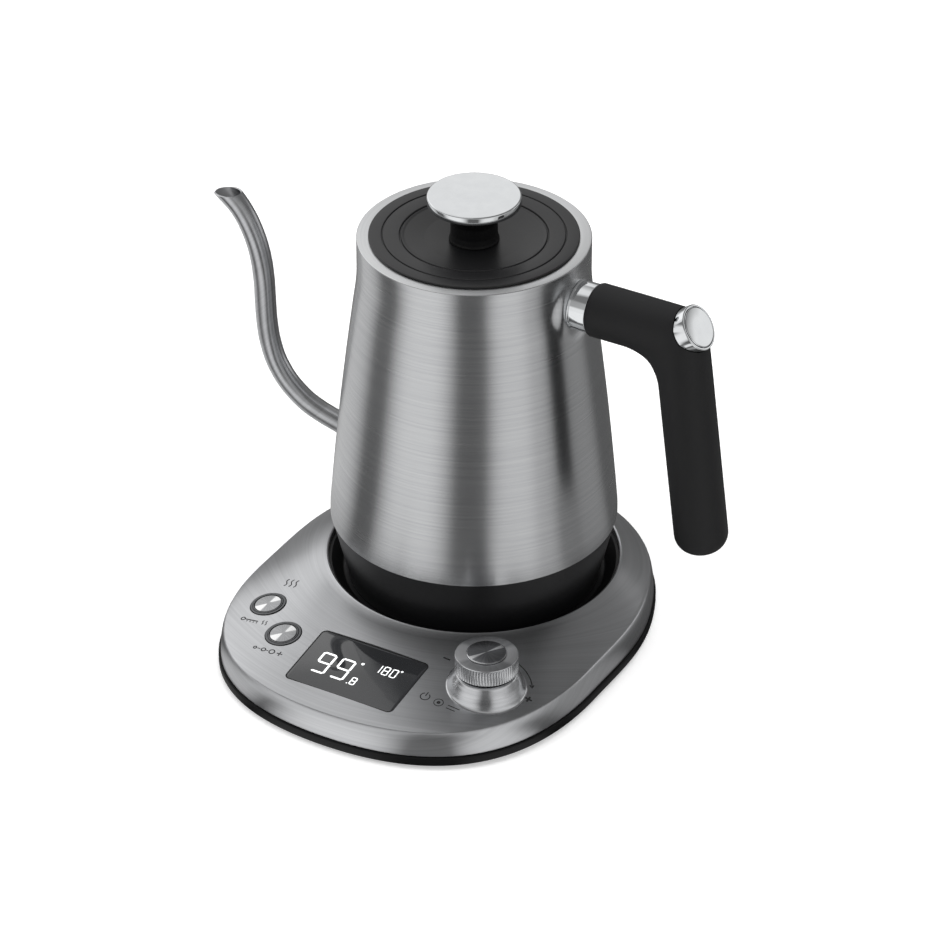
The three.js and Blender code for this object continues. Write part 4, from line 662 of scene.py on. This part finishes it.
def buildDrum():
    # the crown of ridges runs round the drum between two plain bands
    radius, count = knob["drumRadius"], knob["teeth"] * 4
    low = knobZ + knob["gap"]
    high = low + knob["drumHeight"]
    bore, seat, tooth = knob["boreRadius"], knob["seatRadius"], knob["toothDepth"]
    shape = [(bore, low + knob["boreDepth"], 0), (bore, low, 0), (radius - 0.5, low, 0), (radius, low + 0.4, 0),
             (radius, low + 0.7, tooth), (radius, high - 0.75, tooth), (radius, high - 0.45, 0),
             (radius - 0.14, high - 0.12, 0), (radius - 0.5, high, 0), (seat, high, 0),
             (seat - 0.1, high - knob["seatDepth"], 0)]
    piece = loftPiece("knobDrum", [circlePoints(reach, z, count, dip, knob["teeth"]) for reach, z, dip in shape])
    movePiece(piece, knobSeat)
    placePiece(piece, "knob", knobMetal, ["knob_drum"], 40)
    # the spun rim's colour carries painted highlight wedges
    rim = spunMetal("spunAluminiumKnobRim", tableSpot(*knobSpot, high), "#b6b7b9", "#f4f4f5", 0.32, (25, 30))
    addLook(piece, rim, lambda p: p.normal.z > 0.9)
    top, edge = high + knob["faceProud"], knob["faceRadius"]
    face = turnPiece("knobFace", [(edge - 0.2, high - 0.7), (edge, top - 0.4), (edge, top - 0.25), (edge - 0.4, top),
                                  (0.4, top + 0.02)], 96)
    movePiece(face, knobSeat)
    # the face's colour runs from dark grey to a near-white painted highlight in two narrow wedges
    metal = spunMetal("spunAluminiumKnobFace", tableSpot(*knobSpot, top), "#707175", "#fafafb", 0.3, (62, 7))
    placePiece(face, "knob", metal, ["knob_insert"])
    addLook(face, knobMetal, lambda p: p.normal.z < 0.97)


# Print on the cover: signs that name nothing

inkLift = 0.045


def arcLine(x, y, radius, start, end, steps=14):
    turns = [radians(start + (end - start) * i / steps) for i in range(steps + 1)]
    return [(x + radius * cos(a), y + radius * sin(a)) for a in turns]


def waveLine(x, y, height, swing=0.6, steps=10):
    return [(x + swing * sin(2 * pi * i / steps), y + height * (i / steps - 0.5)) for i in range(steps + 1)]


# minus, plus and the arrow by the knob; waves; a thermometer; rings with a plus; a switch sign, a dial and lines
strokes = [([(29.3, -77.7), (32.7, -77.7)], 0.85), ([(71.6, -79.7), (75.0, -79.7)], 0.85),
           ([(73.3, -81.4), (73.3, -78.0)], 0.85),
           (arcLine(*knobSpot, 20, 86, 33), 0.5), ([(69.6, -71.9), (71.3, -72.9), (71.1, -70.9)], 0.55)]
strokes += [(waveLine(-62.6 + 2.5 * i, -60.3, 5.2), 0.5) for i in range(3)]
strokes += [(arcLine(-67.2, -89.8, 0.95, 0, 360, 16), 0.5), ([(-66.1, -89.8), (-59.4, -89.8)], 0.6)]
strokes += [([(-64.6 + 1.7 * i, -90.4), (-64.6 + 1.7 * i, -91.3)], 0.35) for i in range(4)]
strokes += [(waveLine(-56.8 + 1.7 * i, -89.8, 2.8, 0.35), 0.4) for i in range(2)]
strokes += [(arcLine(-50.6 + 4.4 * i, -106.2, 0.7 + 0.3 * i, 0, 360, 16), 0.5) for i in range(3)]
strokes += [([(-49.3 + 4.4 * i, -106.2), (-47.9 + 4.2 * i, -106.2)], 0.4) for i in range(2)]
strokes += [([(-39.2, -106.2), (-36.4, -106.2)], 0.5), ([(-37.8, -107.6), (-37.8, -104.8)], 0.5)]
strokes += [(arcLine(34.6, -102.6, 2.1, 120, 420, 20), 0.5), ([(34.6, -99.7), (34.6, -102.3)], 0.5)]
strokes += [(arcLine(41.6, -103.0, 2.1, 0, 360, 20), 0.4), (arcLine(41.6, -103.0, 0.5, 0, 360, 12), 0.8)]
strokes += [([(46.0, -102.4), (51.8, -102.4)], 0.45), ([(46.0, -104.2), (50.4, -104.2)], 0.45)]


def addStroke(points, width):
    # a thin strip of ink laid along a line over the roof
    count = len(points)
    deselectAll()
    bpy.ops.mesh.primitive_grid_add(x_subdivisions=count - 1, y_subdivisions=1, size=1)
    strip = bpy.context.object
    for i, (x, y) in enumerate(points):
        before, after = points[max(i - 1, 0)], points[min(i + 1, count - 1)]
        if points[0] != points[-1] and i in (0, count - 1) or 0 < i < count - 1:
            along = Vector((after[0] - before[0], after[1] - before[1])).normalized()
        else:
            along = Vector((points[1][0] - points[-2][0], points[1][1] - points[-2][1])).normalized()
        for row, side in ((0, -0.5), (1, 0.5)):
            spot = (x - along.y * width * side, y + along.x * width * side)
            strip.data.vertices[row * count + i].co = (*spot, roofZ(*spot) + inkLift)
    layer = strip.modifiers.new("layer", "SOLIDIFY")
    layer.thickness, layer.offset = 0.06, -1
    applyModifiers(strip)
    return strip


def buildPrint():
    piece = joinPieces([addStroke(points, width) for points, width in strokes], "printedSigns")
    placePiece(piece, "base", printInk)


print("stage: controls")
for buttonName in buttonSpots:
    buildButton(buttonName)
buildDrum()
print("stage: print")
buildPrint()

# Display: a smoked pane with lit seven-segment digits behind it


def smokedPane():
    # near-black hard-coated acrylic over a liquid crystal cell: what shows is mostly the room's reflection
    material, tree, shader = startMaterial("smokedAcrylicPane", IOR=1.8, Roughness=0.05)
    place = addNode(tree, "TexCoord")["Object"]
    cloud = addNode(tree, "TexNoise", {"Vector": place, "Scale": 1 / (30 * metre), "Detail": 1.0})[0]
    tint = addNode(tree, "Mix", {0: cloud, 6: colour("#28292b"), 7: colour("#2f3032")}, data_type="RGBA")[2]
    tree.links.new(tint, shader.inputs["Base Color"])
    return material


def litSegments():
    # backlit white cell
    material, tree, shader = startMaterial("litWhiteSegment", Roughness=0.4, Emission_Strength=0.95)
    place = addNode(tree, "TexCoord")["Object"]
    cloud = addNode(tree, "TexNoise", {"Vector": place, "Scale": 1 / (2 * metre), "Detail": 1.0})[0]
    glow = addNode(tree, "Mix", {0: cloud, 6: colour("#eef1f2"), 7: colour("#ffffff")}, data_type="RGBA")[2]
    tree.links.new(glow, shader.inputs["Base Color"])
    tree.links.new(glow, shader.inputs["Emission Color"])
    return material


# each bar's place in half widths and heights, and whether it stands upright
segmentBars = {"top": (0, 1, 0), "middle": (0, 0, 0), "bottom": (0, -1, 0), "upLeft": (-1, 0.5, 1),
               "upRight": (1, 0.5, 1), "lowLeft": (-1, -0.5, 1), "lowRight": (1, -0.5, 1)}
digitBars = {"0": "top bottom upLeft upRight lowLeft lowRight", "1": "upRight lowRight",
             "8": "top middle bottom upLeft upRight lowLeft lowRight",
             "9": "top middle bottom upLeft upRight lowRight"}
digitRows = {"large": {"text": "99", "x": -15.9, "y": -1.7, "width": 6.1, "height": 12.4, "pitch": 9.7, "bar": 1.0},
             "tenth": {"text": "8", "x": 1.9, "y": -6.4, "width": 2.2, "height": 4.4, "pitch": 4, "bar": 0.55},
             "small": {"text": "180", "x": 7.6, "y": 5.4, "width": 2.5, "height": 5.0, "pitch": 4.05, "bar": 0.5}}
degreeRings = [(0.1, 5.0, 0.75), (18.4, 8.0, 0.55)]


def addBar(x, y, length, bar, upright):
    # a flat bar whose ends are bevelled to a point
    width, depth = (bar, length) if upright else (length, bar)
    piece = roundedPlate("segmentBar", width, depth, bar * 0.42, -0.04, 0.02, segments=1)
    movePiece(piece, Matrix.Translation((x, y, 0)))
    return piece


def buildDigits():
    bars = []
    for row in digitRows.values():
        for place, digit in enumerate(row["text"]):
            centre = row["x"] + place * row["pitch"]
            for name in digitBars[digit].split():
                acrossShare, upShare, upright = segmentBars[name]
                half, tall = row["width"] / 2, row["height"] / 2
                length = (tall if upright else row["width"]) - row["bar"] * 0.22
                x, y = centre + acrossShare * half, row["y"] + upShare * tall
                bars.append(addBar(x, y, length, row["bar"], upright))
    tenth = digitRows["tenth"]
    bars.append(addBar(tenth["x"] - 2.15, tenth["y"] - tenth["height"] / 2, 0.75, 0.75, False))
    for x, y, radius in degreeRings:
        inner = radius * 0.5
        profile = [(radius, -0.04), (radius, 0.02), (inner, 0.02), (inner, -0.04)]
        ring = turnPiece("degreeRing", profile, 24, closed=True)
        movePiece(ring, Matrix.Translation((x, y, 0)))
        bars.append(ring)
    piece = joinPieces(bars, "displayDigits")
    movePiece(piece, screenSeat)
    placePiece(piece, "base", litSegments())


def buildPane():
    width, depth, corner = display["width"] - 0.5, display["depth"] - 0.5, display["corner"]
    pane = roundedPlate("displayPane", width, depth, corner, -display["thickness"], 0, 0.1)
    movePiece(pane, screenSeat)
    placePiece(pane, "base", smokedPane(), ["display_window"])
    surround = roundedPlate("displaySurround", width + 1.1, depth + 1.1, corner + 0.55, -1.6, 0.02)
    cutBy(surround, [roundedPlate("paneCut", width + 0.04, depth + 0.04, corner, -3, 2)])
    movePiece(surround, screenSeat)
    placePiece(surround, "base", darkGap)


buildPane()
buildDigits()

# Kettle

steel = {"bottomZ": 50.9, "bottomRadius": 65, "kinkRadius": 51.3, "coneHeight": 120.5, "bulge": 0.95, "rimZ": 191.2,
         "wall": 0.9, "rimInner": 43.5, "rimLip": 4, "rimRound": 0.45}
boss = {"z": 172, "height": 0.6, "top": 11.1, "foot": 17.5}
# the shares lay out the spout's middle line in its reach and rise
spout = {"rootZ": 71.3, "rootX": -63, "reach": 64, "rise": 105.9, "radius": 4.85, "flare": 0.53, "wall": 0.8,
         "tilt": 9, "faces": 40,
         "shares": [(-0.08, -0.012), (0, 0), (0.155, 0.024), (0.278, 0.046), (0.403, 0.08), (0.544, 0.15),
                    (0.6375, 0.236), (0.686, 0.326), (0.709, 0.422), (0.717, 0.52), (0.723, 0.6185), (0.741, 0.713),
                    (0.78, 0.8045), (0.844, 0.8905), (0.914, 0.951), (1, 1), (1.13, 1.068)]}


def coneRadius(z):
    share = min(max((z - steel["bottomZ"]) / steel["coneHeight"], 0), 1)
    straight = steel["bottomRadius"] + (steel["kinkRadius"] - steel["bottomRadius"]) * share
    return straight + steel["bulge"] * 4 * share * (1 - share)


def wallProfile(offset, step):
    # the cone runs into its upright collar through a soft bend
    kink = steel["bottomZ"] + steel["coneHeight"]
    points, z = [], steel["bottomZ"]
    while z < kink + 8:
        spread = [coneRadius(z + d) for d in (-5, -2.5, 0, 2.5, 5)] if z > kink - 10 else [coneRadius(z)]
        points.append((sum(spread) / len(spread) + offset, z))
        z += step
    return points


def pushBoss(piece):
    # the wall is drawn out softly where the handle is fixed
    for vertex in piece.data.vertices:
        x, y, z = vertex.co
        away = hypot(y, z - boss["z"])
        if x < 40 or away > boss["foot"] or hypot(x, y) < steel["kinkRadius"] - 0.5:
            continue
        share = max((away - boss["top"]) / (boss["foot"] - boss["top"]), 0)
        rise = (1 - share) ** 2 * (1 + 2 * share)
        target = steel["kinkRadius"] + boss["height"]
        vertex.co.x = x + (target - x) * rise


def buildBody():
    outer, lip, rim, soft = steel["kinkRadius"], steel["rimInner"], steel["rimZ"], steel["rimRound"]
    wall, foot, low = steel["wall"], steel["bottomRadius"], steel["bottomZ"]
    profile = [(foot - wall, low + 0.1), (foot - 0.25, low)]
    profile += wallProfile(0, 4)[1:-12]
    profile += [p for p in wallProfile(0, 1) if p[1] > profile[-1][1] + 1]
    last = profile[-1][1]
    profile += [(outer, last + i) for i in range(1, int(rim - 2 - last))]
    under = rim - steel["rimLip"]
    profile += [(outer, rim, soft), (lip, rim, 0.5), (lip, under), (lip + wall, under), (lip + wall, rim - wall),
                (outer - wall, rim - wall), (outer - wall, 176)]
    profile += [p for p in reversed(wallProfile(-wall, 12)) if p[1] < 170]
    piece = turnPiece("kettleShell", profile, 256, closed=True)
    pushBoss(piece)
    hole = addCylinder(spout["radius"] - spout["wall"], 0, 30, vertices=48)
    movePiece(hole, lyingAt(-50, spout["rootZ"], -pi / 2))
    cutBy(piece, [hole])
    placePiece(piece, "kettle", bodySteel, ["kettle_body"], 30)
    # the rim's upward faces take the lighter copy of the steel as painted light
    addLook(piece, paintedLightRimSteel, lambda p: p.normal.z > 0.9 and p.center.z > (rim - 1) * metre)


bottomPlate = {"low": 19.62, "high": 22.0, "hole": 22.8, "radius": 57.2, "edge": 0.5, "screwRing": 52,
               "headRadius": 2.9, "headDepth": 1.5, "shank": 1.4}


def buildBottomPlate():
    low, high, hole, radius = [bottomPlate[key] for key in ("low", "high", "hole", "radius")]
    profile = [(hole, low), (radius, low, bottomPlate["edge"]), (radius, high), (hole, high)]
    piece = turnPiece("kettleBottomPlate", profile, 160, closed=True)
    cutters = []
    for turn in (90, 210, 330):
        spot = Vector((cos(radians(turn)), sin(radians(turn)))) * bottomPlate["screwRing"]
        cutters.append(addCylinder(bottomPlate["headRadius"], low - 1, low + bottomPlate["headDepth"], spot, 32))
        cutters.append(addCylinder(bottomPlate["shank"], low, high + 1, spot, 24))
    cutBy(piece, cutters)
    placePiece(piece, "kettle", satinBlack, ["bottom_cover"])


def buildSkirt():
    profile = [(57.7, 22.3, 0.6), (64.4, 50.6, 0.3), (63.0, 50.6), (63.0, 53.6), (61, 53.6), (61, 48.6), (55.7, 22.3)]
    piece = turnPiece("kettleSkirt", profile, 192, closed=True)
    placePiece(piece, "kettle", satinBlack, ["kettle_skirt"])


def throughPoints(knots, steps):
    # centripetal curve through the knots
    line = []
    padded = [knots[0] * 2 - knots[1]] + knots + [knots[-1] * 2 - knots[-2]]
    for i in range(len(knots) - 1):
        p = padded[i:i + 4]
        t = [0.0]
        for a, b in zip(p, p[1:]):
            t.append(t[-1] + max((b - a).length, 1e-6) ** 0.5)
        for s in range(steps):
            at = t[1] + (t[2] - t[1]) * s / steps
            mix = lambda a, b, low, high: a * ((high - at) / (high - low)) + b * ((at - low) / (high - low))
            first = [mix(p[k], p[k + 1], t[k], t[k + 1]) for k in range(3)]
            second = [mix(first[k], first[k + 1], t[k], t[k + 2]) for k in range(2)]
            line.append(mix(second[0], second[1], t[1], t[2]))
    return line + [knots[-1]]


def spoutPoint(along, up):
    return Vector((spout["rootX"] - spout["reach"] * along, 0, spout["rootZ"] + spout["rise"] * up))


def buildSpout():
    knots = [spoutPoint(a, b) for a, b in spout["shares"]]
    line = throughPoints(knots, 8)
    rings, faces, side = [], spout["faces"], Vector((0, 1, 0))
    for i, point in enumerate(line):
        along = (line[min(i + 1, len(line) - 1)] - line[max(i - 1, 0)]).normalized()
        across = along.cross(side)
        blend = min(max((i / (len(line) - 1) - 0.84) / 0.16, 0), 1)  # over the last sixth of the line
        radius = spout["radius"] + spout["flare"] * blend * blend * (3 - 2 * blend)
        turns = [2 * pi * k / faces for k in range(faces)]
        rings.append([point + (across * cos(t) + side * sin(t)) * radius for t in turns])
    piece = loftPiece("gooseneckSpout", rings)
    tilt = radians(spout["tilt"])
    # the mouth is cut at its tilt and the root along the wall of the body
    for spot, away in ((spoutPoint(1, 1), (-sin(tilt), 0, cos(tilt))), ((-61.4, 0, spout["rootZ"]), (1, 0, -0.11))):
        editAll(piece)
        bpy.ops.mesh.bisect(plane_co=spot, plane_no=away, clear_outer=True)
    leaveEdit()
    modifier = piece.modifiers.new("wall", "SOLIDIFY")
    modifier.thickness, modifier.offset = spout["wall"], -1
    edge = piece.modifiers.new("lip", "BEVEL")
    edge.width, edge.segments, edge.limit_method, edge.angle_limit = 0.22, 2, "ANGLE", radians(40)
    applyModifiers(piece)
    placePiece(piece, "kettle", spoutSteel, ["spout"], 40)


print("stage: kettle")
buildBody()
buildSkirt()
buildBottomPlate()
buildSpout()

# Handle

handle = {"z": 172, "cornerX": 102, "sleeveX": 60.8, "radius": 12, "crook": 16, "lean": radians(7.4), "length": 107,
          "endRound": 9, "mouthRound": 0.9, "faces": 56, "bendSteps": 30}
cap = {"angle": 35, "radius": 10.25, "reach": 10.3, "depth": 6.2, "discRadius": 8.95, "disc": 1.6, "proud": 0.35}
capSeat = lyingAt(handle["cornerX"], handle["z"], pi / 2 - radians(cap["angle"]))


def elbowReach(hub, angle):
    # from the hub of the crook to the outer side of the elbow
    corner, radius, lean = Vector((handle["cornerX"], handle["z"])), handle["radius"], handle["lean"]
    ray, toCorner = Vector((cos(angle), sin(angle))), corner - hub
    if ray.y > 0 and (toCorner.y + radius) / ray.y * ray.x <= toCorner.x:
        return (toCorner.y + radius) / ray.y
    outward, down = Vector((cos(lean), sin(lean))), Vector((sin(lean), -cos(lean)))
    reach = (toCorner.dot(outward) + radius) / ray.dot(outward)
    if (ray * reach - toCorner).dot(down) >= 0:
        return reach
    along = ray.dot(toCorner)
    return along + sqrt(radius ** 2 - toCorner.length_squared + along ** 2)


def gripStations():
    x, z, radius, lean = handle["cornerX"], handle["z"], handle["radius"], handle["lean"]
    bend, start, mouth = radius + handle["crook"], handle["sleeveX"], handle["mouthRound"]
    tangent = bend * (1 - sin(lean)) / cos(lean)
    hub = Vector((x - tangent, z - bend))
    stations = [(start, z, radius - mouth, pi / 2), (start + mouth * 0.3, z, radius - mouth * 0.3, pi / 2)]
    stations += [(start + mouth + (hub.x - start - mouth) * i / 6, z, radius, pi / 2) for i in range(7)]
    for i in range(1, handle["bendSteps"]):
        angle = pi / 2 + (lean - pi / 2) * i / handle["bendSteps"]
        reach = elbowReach(hub, angle)
        middle, half = (reach + handle["crook"]) / 2, (reach - handle["crook"]) / 2
        stations.append((hub.x + middle * cos(angle), hub.y + middle * sin(angle), half, angle))
    end, length = handle["endRound"], handle["length"]
    down = [(tangent + (length - end - tangent) * i / 12, radius) for i in range(13)]
    down += [(length - end * (1 - sin(a)), radius - end * (1 - cos(a))) for a in [i * pi / 20 for i in range(1, 11)]]
    stations += [(x + sin(lean) * far, z - cos(lean) * far, half, lean) for far, half in down]
    return stations


def buildGrip():
    rings = []
    for x, z, half, angle in gripStations():
        depth, ring = min(half, handle["radius"]), []
        for k in range(handle["faces"]):
            turn = 2 * pi * k / handle["faces"]
            reach = half * cos(turn)
            ring.append(Vector((x + reach * cos(angle), depth * sin(turn), z + reach * sin(angle))))
        rings.append(ring)
    piece = loftPiece("handleGrip", rings)
    seat = addCylinder(cap["radius"] + 0.25, cap["reach"] - cap["depth"] - 0.3, 26)
    movePiece(seat, capSeat)
    socket = addCylinder(5.3, -2, 30, vertices=48)
    movePiece(socket, lyingAt(handle["sleeveX"], handle["z"]))
    cutBy(piece, [seat, socket])
    placePiece(piece, "kettle", gripBlack, ["handle_grip"], 35)


def buildCap():
    low, high, disc = cap["reach"] - cap["depth"], cap["reach"], cap["discRadius"]
    outer, inner, floor = cap["radius"], disc + 0.3, high - cap["disc"]
    ring = turnPiece("capRing", [(4, low), (outer, low, 0.3), (outer, high, 0.7), (inner, high, 0.2), (inner, floor),
                                 (4, floor)])
    movePiece(ring, capSeat)
    placePiece(ring, "kettle", chromePlate, ["cap_ring"], 40)
    top, low = high + cap["proud"], floor + cap["proud"]
    plate = turnPiece("capDisc", [(4, low), (disc, low), (disc, top, 0.5), (4, top + 0.05), (0.5, top + 0.06)])
    movePiece(plate, capSeat)
    placePiece(plate, "kettle", chromePlate, ["cap_disc"], 40)


def buildFerrule():
    low, high = steel["kinkRadius"] + boss["height"] - 0.02, handle["sleeveX"] - 0.3
    profile = [(5.3, low), (11.4, low, 0.4), (11.0, low + 1.2, 0.6), (11.0, high, 0.4), (5.3, high)]
    piece = turnPiece("handleFerrule", profile, closed=True)
    movePiece(piece, lyingAt(0, handle["z"]))
    placePiece(piece, "kettle", chromePlate, ["handle_ferrule"], 40)


print("stage: handle")
buildGrip()
buildCap()
buildFerrule()

# Lid

lid = {"bottomZ": 191.3, "topZ": 192.3, "pan": 189.8, "sheet": 1.7, "neckLow": 190.1, "neckHeight": 17.1,
       "knobLow": 207.5, "knobHigh": 211.3, "knobRadius": 20.6}


def buildLid():
    # two fine rings are pressed into the cover, and its middle is dished
    top, bottom, pan, sheet = lid["topZ"], lid["bottomZ"], lid["pan"], lid["sheet"]
    step, groove = top - 0.3, top - 0.6
    profile = [(1.9, pan), (11.3, pan, 2), (21.7, pan + 0.8, 6), (30.4, step - 0.35, 1), (31.7, step, 0.3),
               (32.0, step - 0.7, 0.1), (32.4, step - 0.7, 0.1), (32.7, step + 0.1, 0.3), (39.7, top, 0.3),
               (39.95, groove, 0.1), (40.25, groove, 0.1), (40.5, top, 0.3), (46.1, top - 0.1, 0.5),
               (46.1, bottom, 0.1), (42.3, bottom), (42.3, bottom - 1.1), (41.1, bottom - 1.1), (41.1, bottom - 3.5),
               (42.3, bottom - 3.5), (42.3, bottom - 12.5, 0.3), (40.6, bottom - 12.5), (40.6, bottom - sheet),
               (32.2, bottom - sheet), (11.3, pan - sheet), (1.9, pan - sheet)]
    piece = turnPiece("lidCover", profile, 160, closed=True)
    placePiece(piece, "lid", lidBlack, ["lid_cover"], 35)
    low, high = lid["neckLow"], lid["neckLow"] + lid["neckHeight"]
    profile = [(3, low), (11.2, low, 0.3), (10.7, low + 1.2, 0.8), (10.3, low + 3.6, 3), (10.3, low + 9, 4),
               (11.6, high - 2.9, 3), (12.1, high, 0.2), (6, high), (6, high + 1.5), (3, high + 1.5)]
    neck = turnPiece("lidNeck", profile, 96, closed=True)
    # the neck takes the darker black as painted shade under the knob disc
    placePiece(neck, "lid", shadedNeckBlack, ["lid_neck"], 45)
    low, high, radius = lid["knobLow"], lid["knobHigh"], lid["knobRadius"]
    profile = [(6.3, low + 1.2), (6.3, low), (radius, low, 0.5), (radius, high, 0.75), (1, high)]
    disc = turnPiece("lidKnob", profile, 160)
    placePiece(disc, "lid", chromePlate, ["lid_knob"], 40)


print("stage: lid")
buildLid()

# Studio

studio = {"floorSize": 8, "tentRadius": 1.35, "tentStart": 0.09, "tentLow": 0.0006}
# soft panels of the tent: turn from the camera, half width, softness and strength; the first zone lies round the foot
# of the base, and the others rise by the sine of elevation
zones = [
    {"shade": 0.09,
     "panels": [(293, 10, 8, 0.7), (331, 12, 12, 1.03), (17, 9, 7, 0.9), (56, 16, 8, 0.33), (3, 16, 8, 0.21),
                (225, 25, 15, 0.5)]},
    {"from": (0.138, 0.16), "shade": 0.13,
     "panels": [(-46, 22, 18, 0.97), (35.5, 14.5, 14, 0.86), (50, 14, 12, 0.6), (78, 6, 10, 0.28), (97, 14, 11, 0.34),
                (232, 18, 18, 0.72)]},
    {"from": (0.015, 0.09), "shade": 0.2,
     "panels": [(-60, 40, 20, 0.9), (50, 35, 20, 0.8), (113, 16, 8, 0.9), (231, 28, 15, 0.55)]},
    {"from": (0.3, 0.4), "shade": 0.2, "panels": [(0, 60, 30, 0.5), (214, 46, 4, 0.88), (222, 30, 8, 1.12)]},
    {"from": (0.68, 0.76), "shade": 0.2, "panels": [(228, 45, 28, 0.85)]}]


def lightPath(tree):
    # what the camera, shiny surfaces and clear ones see
    path = addNode(tree, "LightPath")
    seen = path["Is Camera Ray"]
    for ray in ("Is Glossy Ray", "Is Transmission Ray"):
        seen = addNode(tree, "Math", {0: seen, 1: path[ray]}, operation="MAXIMUM")[0]
    return seen


def buildWorld():
    world = bpy.data.worlds.new("paleStudio")
    bpy.context.scene.world = world
    world.use_nodes = True
    tree = world.node_tree
    background = tree.nodes["Background"]
    tree.links.new(lightPath(tree), background.inputs["Strength"])
    background.inputs["Color"].default_value = (1, 1, 1, 1)


def buildFloor():
    deselectAll()
    bpy.ops.mesh.primitive_plane_add(size=studio["floorSize"])
    floor = bpy.context.object
    floor.name = "studioFloor"
    material, tree, shader = startMaterial("whitePaperSweep", Roughness=0.9, Specular_IOR_Level=0.1)
    shader.inputs["Base Color"].default_value = (0.86, 0.86, 0.86, 1)
    shader.inputs["Emission Color"].default_value = (1, 1, 1, 1)
    place = addNode(tree, "TexCoord")["Object"]
    away = addNode(tree, "VectorMath", {0: place}, operation="LENGTH")["Value"]
    # the sweep brightens with distance, so that it stays white behind the object
    glow = addNode(tree, "MapRange", {"Value": away, "From Min": 0.5, "From Max": 2.2, "To Min": 0.42})[0]
    glow = addNode(tree, "Math", {0: glow, 1: lightPath(tree)}, operation="MULTIPLY")[0]
    tree.links.new(glow, shader.inputs["Emission Strength"])
    floor.data.materials.append(material)


def zoneLevel(tree, direction, zone):
    level = zone["shade"]
    for turn, half, soft, strength in zone["panels"]:
        angle = radians(turn + view["azimuth"] - 90)
        toward = addNode(tree, "VectorMath", {0: direction, 1: (cos(angle), sin(angle), 0)},
                         operation="DOT_PRODUCT")["Value"]
        low, high = cos(radians(half + soft)), cos(radians(max(half - soft, 0)))
        panel = addNode(tree, "MapRange", {"Value": toward, "From Min": low, "From Max": high, "To Max": strength},
                        interpolation_type="SMOOTHSTEP")["Result"]
        level = addNode(tree, "Math", {0: level, 1: panel}, operation="MAXIMUM")[0]
    return level


def buildTent():
    # a ring of tall soft panels that only shiny surfaces see
    material = bpy.data.materials.new("softPanels")
    material.use_nodes = True
    tree = material.node_tree
    tree.nodes.clear()
    place = addNode(tree, "TexCoord")["Object"]
    flat = addNode(tree, "VectorMath", {0: place, 1: (1, 1, 0)}, operation="MULTIPLY")[0]
    direction = addNode(tree, "VectorMath", {0: flat}, operation="NORMALIZE")[0]
    upward = addNode(tree, "VectorMath", {0: place}, operation="NORMALIZE")[0]
    height = addNode(tree, "SeparateXYZ", {0: upward})["Z"]
    level = zoneLevel(tree, direction, zones[0])
    far = addNode(tree, "VectorMath", {0: flat}, operation="LENGTH")["Value"]
    for i, zone in enumerate(zones[1:]):
        start, end = zone["from"]
        rising = {"Value": height if i else far, "From Min": start, "From Max": end}
        share = addNode(tree, "MapRange", rising)["Result"]
        level = addNode(tree, "Mix", {0: share, 2: level, 3: zoneLevel(tree, direction, zone)})[0]
    glow = addNode(tree, "Emission", {"Strength": level})[0]
    addNode(tree, "OutputMaterial", {"Surface": glow}, is_active_output=True)
    radius, start, low = studio["tentRadius"], studio["tentStart"], studio["tentLow"]
    profile = [(start, low), (radius, low), (radius, 0.5), (radius * 0.9, 0.9), (radius * 0.5, 1.25), (0.05, 1.35)]
    tent = turnPiece("studioTent", profile, 64)
    tent.data.materials.append(material)
    for ray in ("camera", "diffuse", "shadow", "transmission", "volume_scatter"):
        setattr(tent, "visible_" + ray, False)


def addLamp(name, place, size, power, aim=(0, 0, 0.1)):
    deselectAll()
    towards = Vector(aim) - Vector(place)
    bpy.ops.object.light_add(type="AREA", location=place, rotation=towards.to_track_quat("-Z", "Y").to_euler())
    lamp = bpy.context.object
    lamp.name = name
    lamp.data.shape, lamp.data.size, lamp.data.size_y = "RECTANGLE", size[0], size[1]
    lamp.data.energy = power
    lamp.visible_glossy = False


def buildStudio():
    buildWorld()
    buildFloor()
    buildTent()
    addLamp("keyLamp", (-1.6, -1.5, 1.8), (1.6, 1.6), 30)
    addLamp("fillLamp", (1.7, -1.2, 1.5), (1.6, 1.6), 18)
    addLamp("topLamp", (0, 0.2, 2.2), (2.4, 2.4), 40)
    addLamp("backLamp", (0.4, 2.0, 1.4), (1.8, 1.8), 14)


print("stage: studio")
buildStudio()
bpy.context.scene.view_settings.view_transform = "Standard"
